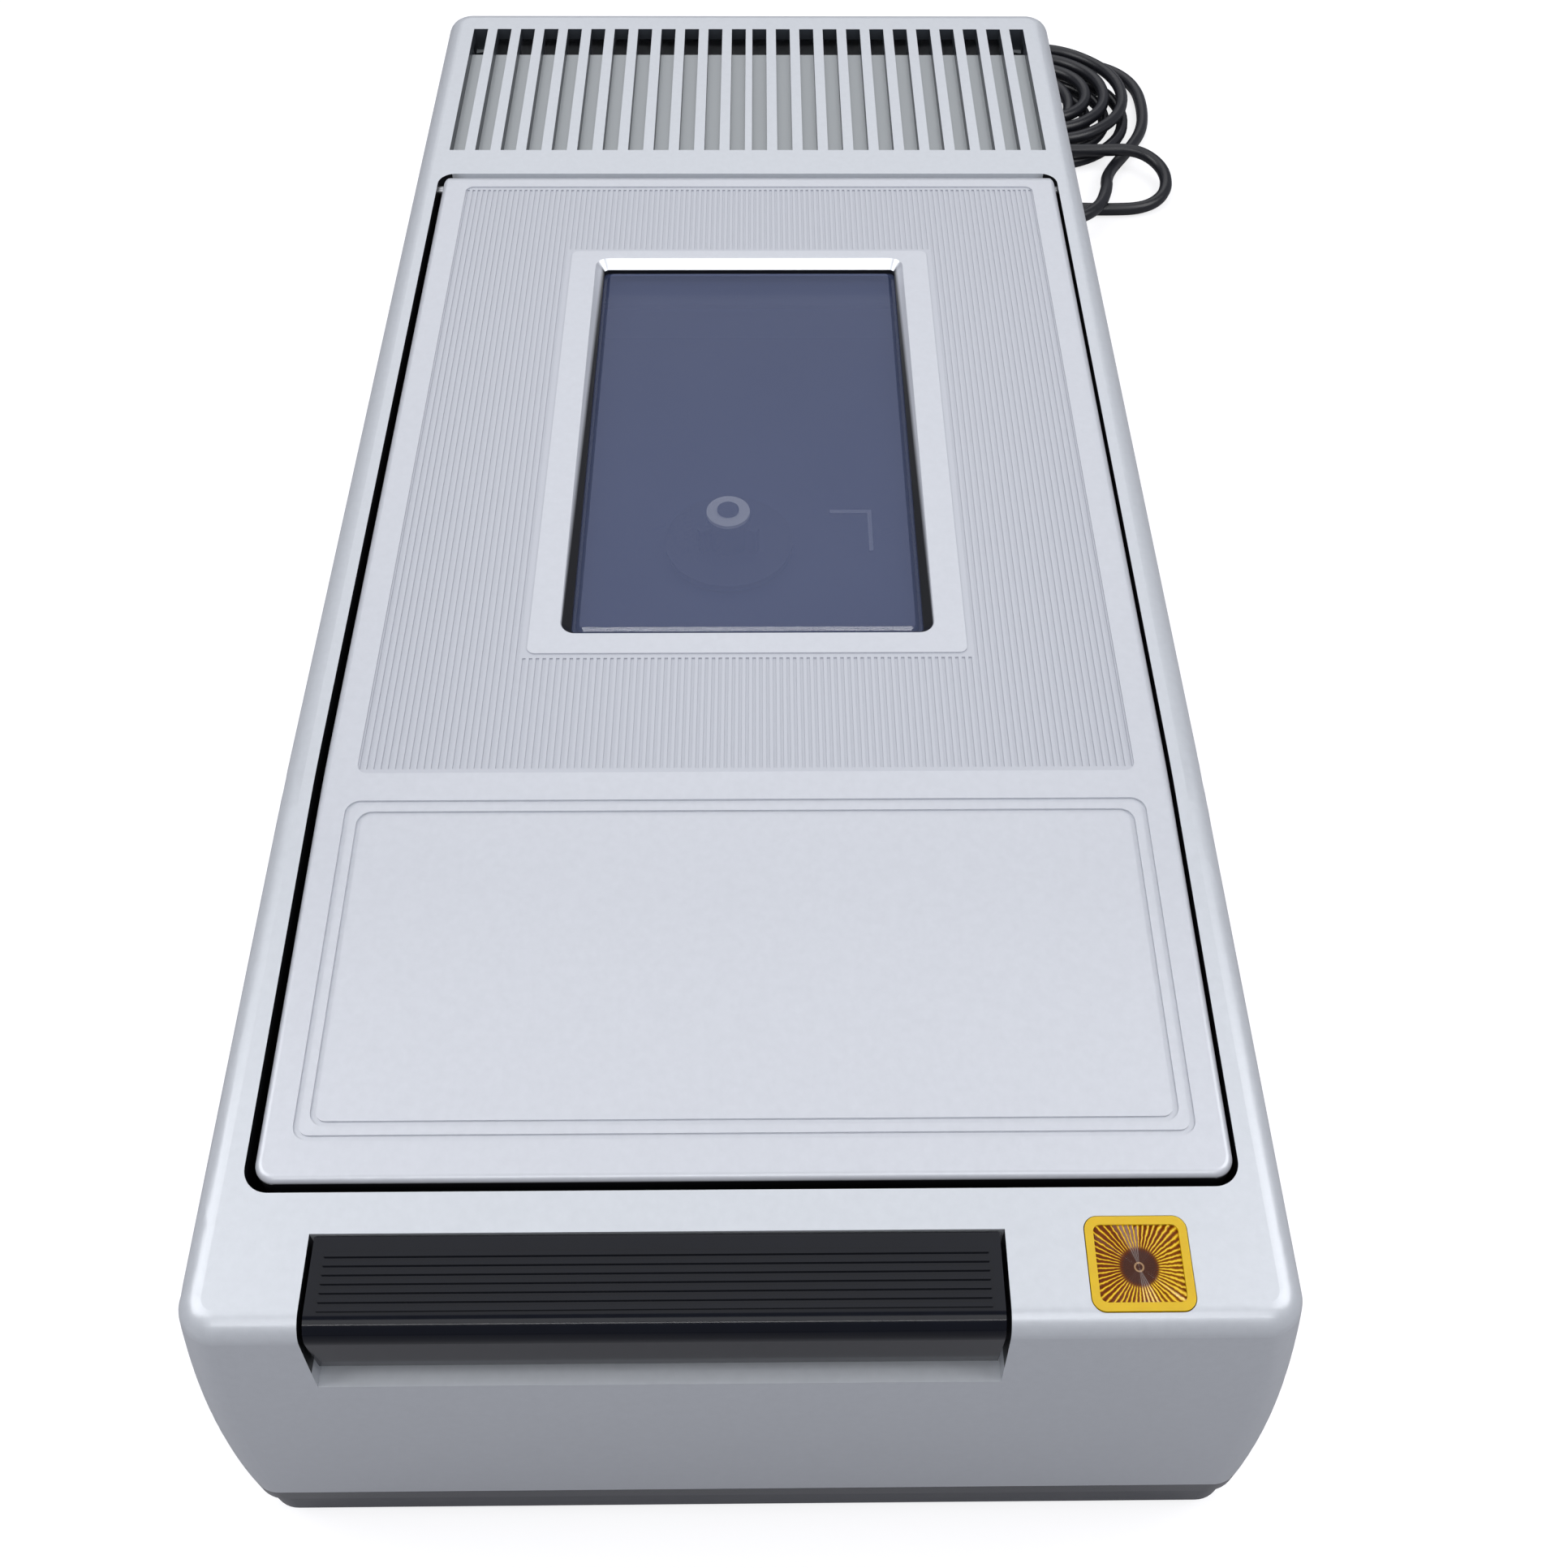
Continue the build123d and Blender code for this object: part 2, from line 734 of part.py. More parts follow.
with BuildPart() as deck_tray:
    add(
        rounded_slab(
            tray_half_width + tray_wall,
            tray_front - tray_wall,
            tray_rear + tray_wall,
            tray_corner + tray_wall,
            deck_bottom,
            tray_top,
        )
    )
    add(
        rounded_slab(tray_half_width, tray_front, tray_rear, tray_corner, deck_top, height),
        mode=Mode.SUBTRACT,
    )
    # ears on the posts of the lower housing
    for x, y in deck_screw_sites:
        with Locations((x, y, deck_bottom)):
            Box(2 * (ear_x - tray_half_width), ear_length, deck_thickness, align=stand)
    with Locations([(x, y, deck_bottom) for x, y in deck_screw_sites]):
        Cylinder(screw_radius + screw_play, 3 * deck_thickness, mode=Mode.SUBTRACT)
    # bearings of the two hubs
    for x, y in (drive_hub, idle_hub):
        with Locations((x, y, bearing_bottom)):
            Cylinder(bearing_radius, collar_top - bearing_bottom, align=stand)
            Cylinder(shaft_radius + running_clearance, height, mode=Mode.SUBTRACT)
    with Locations((*reduction_axis, axle_boss_bottom)):
        Cylinder(axle_radius + 2, deck_bottom - axle_boss_bottom + 0.5, align=stand)
        Cylinder(axle_radius + press, axle_top - axle_boss_bottom, align=stand, mode=Mode.SUBTRACT)
    # pads that the cassette sits on, and the pin that frees its reel brakes
    with Locations(
        [(i * seat_pad_x, cassette_y + j * seat_pad_y, deck_top) for i in (-1, 1) for j in (-1, 1)]
    ):
        Cylinder(seat_pad_radius, cassette_seat - deck_top, align=stand)
    with Locations((brake_pin_x, cassette_y, deck_top)):
        Cylinder(brake_pin_radius, brake_pin_top - deck_top, align=stand)
    # raised corner mark on the floor
    with Locations((mark_x, mark_y, deck_top)):
        Box(mark_short, mark_width, mark_height, align=(Align.MAX, Align.MAX, Align.MIN))
        Box(mark_width, mark_long, mark_height, align=(Align.MAX, Align.MAX, Align.MIN))
    # slot of the latch lever, its pin bosses and the shelf of its spring
    with Locations((latch_x, tray_front - tray_wall / 2, latch_pivot_z - 4)):
        Box(latch_width + 2 * slot_play, 2 * tray_wall, height, align=stand, mode=Mode.SUBTRACT)
    for side in (-1, 1):
        boss_x = latch_x + side * (latch_width / 2 + slot_play + pin_boss / 2)
        with Locations((boss_x, latch_pivot_y, latch_pivot_z)):
            Cylinder(latch_pin_radius + 2, pin_boss, rotation=along_x)
            Cylinder(latch_pin_radius + press, 2 * pin_boss, rotation=along_x, mode=Mode.SUBTRACT)
    with Locations((latch_x, tray_front - tray_wall / 2, spring_shelf)):
        Box(
            latch_width + 4,
            tray_front - tray_wall / 2 - latch_foot_front,
            deck_thickness,
            align=(Align.CENTER, Align.MAX, Align.MAX),
        )
    # slot of the start lever and its pin ears
    with Locations((lever_x, lever_y + lever_reach / 2, deck_bottom)):
        Box(
            lever_width + 2 * slot_play,
            lever_reach + lever_slot_extra,
            3 * deck_thickness,
            mode=Mode.SUBTRACT,
        )
    for side in (-1, 1):
        ear_side_x = lever_x + side * (lever_width / 2 + slot_play + ear_sheet / 2)
        with Locations((ear_side_x, lever_y, deck_bottom + 0.5)):
            Box(ear_sheet, ear_depth, deck_bottom + 0.5 - lever_pivot_z + 2, align=hang)
    with Locations((lever_x, lever_y, lever_pivot_z)):
        Cylinder(latch_pin_radius + press, lever_width + 4 * ear_sheet, rotation=along_x, mode=Mode.SUBTRACT)

# ---- lid ---------------------------------------------------------------------------------


def behind_hinge(radius):
    """What lies outside the circle of this radius about the hinge, above and behind it."""
    far = 4 * lid_back_radius
    with BuildPart() as space:
        with BuildSketch(Plane.YZ):
            with BuildLine():
                arc = CenterArc((hinge_y, hinge_z), radius, 0, 90)
                Polyline(
                    arc @ 1,
                    (hinge_y, hinge_z + far),
                    (hinge_y + far, hinge_z + far),
                    (hinge_y + far, hinge_z),
                    arc @ 0,
                )
            make_face()
        extrude(amount=width, both=True)
    return space.part


def lid_block(inset, drop, front_corner, bottom):
    """The lid's outer form, or with an inset and a drop the hollow under it."""
    with BuildPart() as block:
        with BuildSketch(Plane.XY.offset(bottom)):
            with Locations((lid_shift, (lid_front + lid_rear) / 2)):
                Rectangle(2 * (lid_half_width - inset), lid_rear - lid_front - 2 * inset)
        extrude(amount=height)
        fillet(block.edges().filter_by(Axis.Z).group_by(Axis.Y)[0], radius=front_corner)
        add(space_above(lid_rise - drop), mode=Mode.SUBTRACT)
        add(behind_hinge(lid_back_radius - inset), mode=Mode.SUBTRACT)
    return block


lid_form = lid_block(0, 0, lid_corner, lid_skirt_bottom)
lid_hollow = lid_block(lid_skirt, lid_thickness, 1.0, lid_skirt_bottom - 1)
lid_top = height + lid_rise
glass_y = (glass_front + glass_rear) / 2
glass_length = glass_rear - glass_front
pane_flange_top = lid_top - lid_thickness - press
pane_top = lid_top - glass_bevel_depth
rib_count = int(2 * field_half_width / rib_pitch)
holder_screw_sites = [
    (lid_shift + side * holder_screw_x, y)
    for side in (-1, 1)
    for y in (holder_front_strap_y, holder_rear_strap_y)
]

with BuildPart() as panel_lines:
    # two engraved outlines round the plain front panel
    with BuildSketch(Plane.XY.offset(ledge_height)):
        with Locations((lid_shift, (panel_front + panel_rear) / 2)):
            for line_inset in (0, panel_line_spacing):
                line_width = 2 * (panel_half_width - line_inset)
                line_depth = panel_rear - panel_front - 2 * line_inset
                RectangleRounded(line_width, line_depth, panel_corner)
                RectangleRounded(
                    line_width - 2 * panel_groove,
                    line_depth - 2 * panel_groove,
                    panel_corner - panel_groove,
                    mode=Mode.SUBTRACT,
                )
    extrude(amount=height)
    add(space_above(lid_rise - panel_groove_depth), mode=Mode.INTERSECT)

with BuildPart() as lid_panel:
    add(lid_form.part)
    lid_edges = lid_panel.edges().filter_by(
        lambda edge: edge.center().Z > lid_skirt_bottom + 1
        and (
            abs(edge.center().X) > lid_half_width - 3
            or edge.center().Y < lid_front + 3
        )
        and not (
            abs(edge.center().X) > lid_half_width - 3
            and edge.center().Y < lid_front + 3
            and edge.bounding_box().size.Z > 3
        )
    )
    fillet(lid_edges, radius=lid_rim_radius)
    add(lid_hollow.part, mode=Mode.SUBTRACT)
    # sunken field round the raised window frame
    with BuildSketch(Plane.XY.offset(lid_top)):
        with Locations((lid_shift, (field_front + field_rear) / 2)):
            RectangleRounded(2 * field_half_width, field_rear - field_front, field_corner)
        with Locations((lid_shift, (frame_front + frame_rear) / 2)):
            RectangleRounded(
                2 * frame_half_width, frame_rear - frame_front, frame_corner, mode=Mode.SUBTRACT
            )
    extrude(amount=-field_depth, mode=Mode.SUBTRACT)
    # fine grooves along it, which leave the ribs
    with BuildSketch(Plane.XY.offset(lid_top - field_depth)):
        with Locations((lid_shift, (field_front + field_rear) / 2)):
            with GridLocations(rib_pitch, 0, rib_count, 1):
                Rectangle(rib_gap, field_rear - field_front - 2 * rib_margin)
        with Locations((lid_shift, (frame_front + frame_rear) / 2)):
            Rectangle(
                2 * (frame_half_width + rib_margin),
                frame_rear - frame_front + 2 * rib_margin,
                mode=Mode.SUBTRACT,
            )
    extrude(amount=-rib_depth, mode=Mode.SUBTRACT)
    add(panel_lines.part, mode=Mode.SUBTRACT)
    # window opening, its edge sloping in all round
    with BuildSketch(Plane.XY.offset(lid_top)):
        with Locations((lid_shift, glass_y)):
            RectangleRounded(
                2 * (glass_half_width + glass_bevel), glass_length + 2 * glass_bevel, glass_corner
            )
    extrude(
        amount=-glass_bevel_depth,
        taper=degrees(atan2(glass_bevel, glass_bevel_depth)),
        mode=Mode.SUBTRACT,
    )
    with BuildSketch(Plane.XY.offset(lid_top - glass_bevel_depth)):
        with Locations((lid_shift, glass_y)):
            RectangleRounded(2 * glass_half_width, glass_length, glass_corner - glass_bevel)
    extrude(amount=glass_bevel_depth - lid_thickness - 1, mode=Mode.SUBTRACT)
    # hinge bosses inside the skirt
    for side in (-1, 1):
        boss_x = lid_shift + side * (lid_half_width - lid_boss_length / 2 - lid_boss_inset)
        with Locations((boss_x, hinge_y, hinge_z)):
            Cylinder(hinge_boss_radius, lid_boss_length, rotation=along_x)
    with Locations((0, hinge_y, hinge_z)):
        Cylinder(hinge_pin_radius + running_clearance, 3 * width, rotation=along_x, mode=Mode.SUBTRACT)
    # rounded corners at the rear too, through the bosses
    with BuildSketch(Plane.XY.offset(striker_bottom)):
        with Locations((lid_shift, (lid_front + lid_rear - lid_rear_corner) / 2)):
            RectangleRounded(
                2 * lid_half_width, lid_rear - lid_front + lid_rear_corner, lid_rear_corner
            )
    extrude(amount=height, mode=Mode.INTERSECT)
    # posts for the cassette holder
    for x, y in holder_screw_sites:
        with Locations((x, y, holder_strap_height + holder_sheet)):
            Cylinder(
                holder_post_radius,
                top_at(y) - lid_thickness / 2 - holder_strap_height - holder_sheet,
                align=stand,
            )
            Cylinder(pilot_radius, holder_pilot_depth, align=stand, mode=Mode.SUBTRACT)
    # catch plate for the latch, with its window
    with Locations((latch_x, lid_front, striker_bottom)):
        Box(
            striker_width,
            lid_skirt,
            lid_skirt_bottom - striker_bottom + 1,
            align=(Align.CENTER, Align.MIN, Align.MIN),
        )
    with Locations((latch_x, lid_front, striker_window_bottom)):
        Box(
            striker_window_width,
            4 * lid_skirt,
            striker_window_top - striker_window_bottom,
            align=stand,
            mode=Mode.SUBTRACT,
        )

with BuildPart() as window_pane:
    with BuildSketch(Plane.XY.offset(pane_flange_top - glass_thickness)):
        with Locations((lid_shift, glass_y)):
            RectangleRounded(2 * (glass_half_width + glass_flange), glass_length + 2 * glass_flange, 2.0)
    extrude(amount=glass_thickness)
    with BuildSketch(Plane.XY.offset(pane_flange_top)):
        with Locations((lid_shift, glass_y)):
            RectangleRounded(
                2 * (glass_half_width - glass_gap), glass_length - 2 * glass_gap, glass_corner / 2
            )
    extrude(amount=pane_top - pane_flange_top)
    chamfer(window_pane.faces().sort_by(Axis.Z)[-1].edges(), length=glass_chamfer)

with BuildPart() as hinge_pins:
    with Locations([(side * hinge_pin_middle, hinge_y, hinge_z) for side in (-1, 1)]):
        Cylinder(hinge_pin_radius, hinge_pin_length, rotation=along_x)

# ---- cassette holder ---------------------------------------------------------------------
holder_half_width = cassette_width / 2 + holder_side_gap + holder_sheet
holder_top = holder_strap_height + holder_sheet

with BuildPart() as cassette_holder:
    with BuildSketch(Plane.XZ.offset(-holder_rear)):
        with Locations((lid_shift, (holder_bottom + holder_top) / 2)):
            Rectangle(2 * holder_half_width, holder_top - holder_bottom)
            Rectangle(
                2 * (holder_half_width - holder_sheet),
                holder_top - holder_bottom - 2 * holder_sheet,
                mode=Mode.SUBTRACT,
            )
        with Locations((lid_shift, holder_bottom)):
            Rectangle(2 * (holder_half_width - holder_flange), 4 * holder_sheet, mode=Mode.SUBTRACT)
    extrude(amount=holder_rear - holder_front)
    # the top is cut away between the front and rear straps
    with Locations((lid_shift, (holder_front_strap_y + holder_rear_strap_y) / 2, holder_top)):
        Box(
            2 * (holder_half_width - 3 * holder_sheet),
            holder_rear_strap_y - holder_front_strap_y - holder_strap,
            4 * holder_sheet,
            mode=Mode.SUBTRACT,
        )
    with Locations([(x, y, holder_top) for x, y in holder_screw_sites]):
        Cylinder(screw_radius + screw_play, 4 * holder_sheet, mode=Mode.SUBTRACT)

with BuildPart() as holder_screws:
    with Locations([(x, y, holder_strap_height) for x, y in holder_screw_sites]):
        Cylinder(screw_head_radius, holder_head_height, align=hang)
        Cylinder(screw_radius, holder_sheet + 3.0, align=stand)

with BuildPart() as hold_down_springs:
    # bowed strips under the lid, hung by their rear ends
    lid_underside = lid_top - lid_thickness
    for side in (-1, 1):
        with BuildSketch(Plane.YZ.offset(lid_shift + side * hold_down_x - hold_down_width / 2)):
            with BuildLine():
                tab = Line(
                    (hold_down_rear, lid_underside - strip / 2), (hold_down_bend, lid_underside - strip / 2)
                )
                bow = TangentArc(tab @ 1, (cassette_y, hold_down_low), tangent=tab % 1)
                Line(bow @ 1, (bow @ 1) + (bow % 1) * hold_down_tip)
            trace(line_width=strip)
        extrude(amount=hold_down_width)

# ---- eject bar and latch -----------------------------------------------------------------
bar_rear = recess_rear - bar_rear_gap
bar_middle = (bar_left + bar_right) / 2
bar_length = bar_right - bar_left

with BuildPart() as eject_bar:
    with BuildSketch(Plane.YZ.offset(bar_left)) as bar_section:
        with BuildLine():
            Polyline(
                (bar_rear, bar_bottom),
                (bar_front, bar_bottom),
                (bar_front, top_at(bar_front) - bar_drop),
                (bar_rear, top_at(bar_rear) - bar_drop),
                close=True,
            )
        make_face()
        fillet(bar_section.vertices().sort_by(Axis.X)[:2].sort_by(Axis.Y)[-1], radius=bar_crest_radius)
    extrude(amount=bar_length)
    # hollow from below
    with Locations((bar_middle, (bar_rear + bar_front) / 2, bar_bottom)):
        Box(
            bar_length - 2 * bar_wall,
            bar_rear - bar_front - 2 * bar_wall,
            top_at(bar_front) - bar_drop - bar_wall - bar_crest_radius / 2 - bar_bottom,
            align=stand,
            mode=Mode.SUBTRACT,
        )
    # finger ribs along the crest
    for i in range(bar_rib_count):
        rib_y = bar_rib_rear - i * bar_rib_pitch
        with Locations((bar_middle, rib_y, top_at(rib_y) - bar_drop)):
            Box(bar_length - 2 * bar_rib_end, bar_rib_width, 2 * bar_rib_height)
    # barbed legs through the ledge, and the pusher over the latch lever
    with Locations([(x, bar_leg_y, bar_leg_bottom) for x in bar_leg_xs]):
        Box(bar_leg_width, bar_leg_depth, top_at(bar_leg_y) - bar_wall / 2 - bar_leg_bottom, align=stand)
    barb_top = ledge_height - pocket_wall - seat_play
    with Locations([(x, bar_leg_y - bar_leg_depth / 2, barb_top) for x in bar_leg_xs]):
        Box(bar_leg_width, barb, 2.0, align=(Align.CENTER, Align.MAX, Align.MAX))
    with Locations((latch_x, pusher_y, pusher_bottom)):
        Box(pusher_width, pusher_depth, bar_bottom + 4 - pusher_bottom, align=stand)

with BuildPart() as latch_lever:
    with Locations((latch_x, latch_pivot_y, latch_pivot_z)):
        Cylinder(latch_barrel_radius, latch_width, rotation=along_x)
        Box(
            latch_width,
            latch_pivot_y - latch_foot_front,
            latch_foot_thickness,
            align=(Align.CENTER, Align.MAX, Align.CENTER),
        )
    with Locations((latch_x, latch_arm_rear, latch_pivot_z)):
        Box(
            latch_width,
            latch_arm_thickness,
            latch_arm_top - latch_pivot_z,
            align=(Align.CENTER, Align.MAX, Align.MIN),
        )
    with BuildSketch(Plane.YZ.offset(latch_x - nose_width / 2)):
        with BuildLine():
            Polyline(
                (latch_arm_rear - 1, nose_bottom),
                (latch_arm_rear + nose_reach, nose_bottom),
                (latch_arm_rear + nose_reach, nose_bottom + nose_reach),
                (latch_arm_rear, nose_top),
                (latch_arm_rear - 1, nose_top),
                close=True,
            )
        make_face()
    extrude(amount=nose_width)
    with Locations((latch_x, latch_pivot_y, latch_pivot_z)):
        Cylinder(latch_pin_radius + running_clearance, 2 * latch_width, rotation=along_x, mode=Mode.SUBTRACT)

with BuildPart() as latch_pin:
    with Locations((latch_x, latch_pivot_y, latch_pivot_z)):
        Cylinder(latch_pin_radius, latch_width + 2 * slot_play + 2 * pin_boss, rotation=along_x)

with BuildPart() as latch_spring:
    # folded strip between the shelf and the lever's foot
    spring_low = spring_shelf + spring_strip / 2 + touch
    spring_high = latch_pivot_z - latch_foot_thickness / 2 - spring_strip / 2 - seat_play
    with BuildSketch(Plane.YZ.offset(latch_x - spring_width / 2)):
        with BuildLine():
            FilletPolyline(
                (spring_foot[0], spring_low),
                (spring_foot[1], spring_low),
                (spring_head[0], spring_high),
                (spring_head[1], spring_high),
                radius=spring_bend,
            )
        trace(line_width=spring_strip)
    extrude(amount=spring_width)

# ---- lens and lamp -----------------------------------------------------------------------
with BuildPart() as lens_dish_space:
    with BuildSketch(Plane.XY.offset(ledge_height)):
        with Locations((lens_x, lens_y)):
            RectangleRounded(lens_width - 2 * lens_rim, lens_depth - 2 * lens_rim, lens_corner / 2)
    extrude(amount=height)
    add(space_above(lens_rise - lens_dish), mode=Mode.INTERSECT)

with BuildPart() as amber_lens:
    with BuildSketch(Plane.XY.offset(top_at(lens_y) - lens_thickness)):
        with Locations((lens_x, lens_y)):
            RectangleRounded(lens_width - 2 * seat_play, lens_depth - 2 * seat_play, lens_corner - seat_play)
    extrude(amount=2 * lens_thickness)
    add(space_above(lens_rise), mode=Mode.SUBTRACT)
    add(lens_dish_space.part, mode=Mode.SUBTRACT)

with BuildPart() as indicator_lamp:
    with Locations((lens_x, lens_y, well_floor - seat_play)):
        Cylinder(lamp_radius + 0.5, lamp_flange, align=hang)
        Cylinder(lamp_radius, lamp_height - lamp_radius - well_floor + seat_play, align=stand)
        Cylinder(lamp_lead_radius, lamp_lead_length, align=hang)
    with Locations((lens_x, lens_y, lamp_height - lamp_radius)):
        Sphere(lamp_radius, arc_size1=0)

# ---- drive train -------------------------------------------------------------------------


def spindle_hub(x, y):
    """Reel hub: a flange, a post with three fins and a small raised button, over a blind bore."""
    with BuildPart() as hub:
        with Locations((x, y, hub_flange_bottom)):
            Cylinder(hub_flange_radius, hub_flange_thickness, align=stand)
            Cylinder(hub_radius, hub_top - hub_flange_bottom, align=stand)
            Cylinder(hub_button_radius, hub_top + hub_button_height - hub_flange_bottom, align=stand)
            for i in range(3):
                with PolarLocations(0, 1, start_angle=90 + i * 120):
                    Box(
                        hub_fin_radius,
                        hub_fin_width,
                        hub_fin_top - hub_flange_bottom,
                        align=(Align.MIN, Align.CENTER, Align.MIN),
                    )
            Cylinder(shaft_radius + press, shaft_top - hub_flange_bottom, align=stand, mode=Mode.SUBTRACT)
    return hub


def tooth_point(teeth, radius, half_angle):
    """Corner of an involute tooth at this radius, for a tooth that points along +X."""
    base = gear_module * teeth / 2 * cos(radians(pressure_angle))
    angle = acos(min(1.0, base / radius))
    pitch = radians(pressure_angle)
    turn = half_angle + (tan(pitch) - pitch) - (tan(angle) - angle)
    return radius * cos(turn), radius * sin(turn)


def gear_face(teeth, centre, first_tooth, plane):
    """Outline of a spur gear with arcs for its flanks."""
    pitch_radius = gear_module * teeth / 2
    base_radius = pitch_radius * cos(radians(pressure_angle))
    root_radius = pitch_radius - dedendum * gear_module
    tip_radius = pitch_radius + gear_module
    start_radius = max(base_radius, root_radius)
    half_angle = pi / 2 / teeth - backlash / 2 / (2 * pitch_radius)
    low = tooth_point(teeth, start_radius, half_angle)
    middle = tooth_point(teeth, (start_radius + tip_radius) / 2, half_angle)
    high = tooth_point(teeth, tip_radius, half_angle)
    with BuildSketch(plane) as face:
        with Locations(centre):
            Circle(root_radius)
            with PolarLocations(0, teeth, start_angle=first_tooth):
                with BuildLine(mode=Mode.PRIVATE) as flank:
                    upper = ThreePointArc(low, middle, high)
                    lower = ThreePointArc((low[0], -low[1]), (middle[0], -middle[1]), (high[0], -high[1]))
                    Line(upper @ 1, lower @ 1)
                    Polyline(
                        upper @ 0,
                        (root_radius - tooth_root, low[1]),
                        (root_radius - tooth_root, -low[1]),
                        lower @ 0,
                    )
                add(make_face(flank.line, mode=Mode.PRIVATE))
    return face.sketch


shaft_top = hub_fin_top
drive_spindle = spindle_hub(*drive_hub)
idle_spindle = spindle_hub(*idle_hub)
web_recess = 1.0
web_inner = 7.0
web_outer = gear_module * drive_teeth / 2 - gear_rim

with BuildPart() as drive_shaft:
    with Locations((*drive_hub, gear_bottom)):
        Cylinder(shaft_radius, shaft_top - gear_bottom, align=stand)

with BuildPart() as idle_shaft:
    # its collar keeps the hub from lifting off
    with Locations((*idle_hub, bearing_bottom - collar_play)):
        Cylinder(shaft_radius, shaft_top - bearing_bottom + collar_play, align=stand)
        Cylinder(collar_radius, collar_thickness, align=hang)

with BuildPart() as drive_gear:
    extrude(
        gear_face(drive_teeth, drive_hub, mesh_angle, Plane.XY.offset(gear_bottom)), amount=gear_thickness
    )
    with Locations((*drive_hub, gear_bottom)):
        Cylinder(bearing_radius, bearing_bottom - collar_play - gear_bottom, align=stand)
    for level, direction in ((gear_bottom, 1), (gear_bottom + gear_thickness, -1)):
        with BuildSketch(Plane.XY.offset(level)):
            with Locations(drive_hub):
                Circle(web_outer)
                Circle(web_inner, mode=Mode.SUBTRACT)
        extrude(amount=direction * web_recess, mode=Mode.SUBTRACT)
    with Locations((*drive_hub, gear_bottom)):
        Cylinder(shaft_radius + press, height, align=stand, mode=Mode.SUBTRACT)

belt_middle = pulley_bottom + pulley_width / 2


def pulley(axis, seat_radius, bottom, thickness, rim):
    """Belt pulley: a disc with a square groove round it."""
    with BuildPart() as wheel:
        with Locations((*axis, bottom)):
            Cylinder(seat_radius + rim, thickness, align=stand)
        with BuildSketch(Plane.XY.offset(belt_middle)):
            with Locations(axis):
                Circle(seat_radius + 2 * rim)
                Circle(seat_radius, mode=Mode.SUBTRACT)
        extrude(amount=belt_size / 2 + seat_play, both=True, mode=Mode.SUBTRACT)
    return wheel


large_pulley = pulley(reduction_axis, pulley_radius, pulley_bottom, pulley_width, pulley_rim)

with BuildPart() as reduction_pulley:
    add(large_pulley.part)
    extrude(
        gear_face(
            pinion_teeth,
            reduction_axis,
            mesh_angle + 180 + 180 / pinion_teeth,
            Plane.XY.offset(pulley_bottom + pulley_width - 0.5),
        ),
        amount=axle_boss_bottom - 2 * collar_play - pulley_bottom - pulley_width + 0.5,
    )
    with BuildSketch(Plane.XY.offset(pulley_bottom)):
        with Locations(reduction_axis):
            Circle(pulley_radius - 3)
            Circle(axle_radius + 3, mode=Mode.SUBTRACT)
    extrude(amount=pulley_width - pulley_web, mode=Mode.SUBTRACT)
    with Locations((*reduction_axis, pulley_bottom)):
        Cylinder(axle_radius + running_clearance, 4 * height, mode=Mode.SUBTRACT)

with BuildPart() as reduction_axle:
    # its collar carries the pulley
    with Locations((*reduction_axis, axle_bottom)):
        Cylinder(axle_radius, axle_top - axle_bottom, align=stand)
    with Locations((*reduction_axis, pulley_bottom - collar_play)):
        Cylinder(2 * axle_radius, collar_thickness, align=hang)

small_pulley = pulley(
    (motor_x, motor_y),
    motor_pulley_radius,
    pulley_bottom + motor_pulley_inset,
    pulley_width - 2 * motor_pulley_inset,
    motor_pulley_rim,
)

with BuildPart() as motor_pulley:
    add(small_pulley.part)
    with Locations((motor_x, motor_y, belt_middle)):
        Cylinder(motor_shaft_radius + press, 2 * pulley_width, mode=Mode.SUBTRACT)

with BuildPart() as motor_shaft:
    with Locations((motor_x, motor_y, pulley_bottom)):
        Cylinder(motor_shaft_radius, motor_bottom + motor_shaft_depth - pulley_bottom, align=stand)

with BuildPart() as motor:
    with Locations((motor_x, motor_y, motor_bottom)):
        Cylinder(motor_radius, motor_height, align=stand)
    fillet(motor.edges().group_by(Axis.Z)[-1], radius=motor_edge)
    with Locations((motor_x, motor_y, motor_bottom + motor_height)):
        Cylinder(motor_nose_radius, motor_edge, align=stand)
    with Locations((motor_x, motor_y, motor_bottom)):
        Cylinder(motor_nose_radius, bracket_thickness, align=hang)
        Cylinder(motor_shaft_radius + running_clearance, motor_height + 2, mode=Mode.SUBTRACT)

with BuildPart() as motor_bracket:
    with BuildSketch(Plane.XY.offset(bracket_bottom)):
        with Locations((motor_x, motor_y)):
            RectangleRounded(bracket_length, bracket_width, 3.0)
            Circle(motor_nose_radius + seat_play, mode=Mode.SUBTRACT)
        with Locations(bracket_screw_sites):
            Circle(screw_radius + screw_play, mode=Mode.SUBTRACT)
    extrude(amount=bracket_thickness)

with BuildPart() as drive_belt:
    with BuildSketch(Plane.XY.offset(belt_middle - belt_size / 2)):
        with Locations(reduction_axis):
            Circle(pulley_radius + touch + belt_size)
        with Locations((motor_x, motor_y)):
            Circle(motor_pulley_radius + touch + belt_size)
        make_hull()
    extrude(amount=belt_size)
    with BuildSketch(Plane.XY.offset(belt_middle - belt_size / 2)):
        with Locations(reduction_axis):
            Circle(pulley_radius + touch)
        with Locations((motor_x, motor_y)):
            Circle(motor_pulley_radius + touch)
        make_hull()
    extrude(amount=belt_size, mode=Mode.SUBTRACT)

# ---- power supply ------------------------------------------------------------------------
core_bottom = floor_top
core_yoke = (core_height - core_window_height) / 2
window_centre = core_leg / 2 + core_window / 2

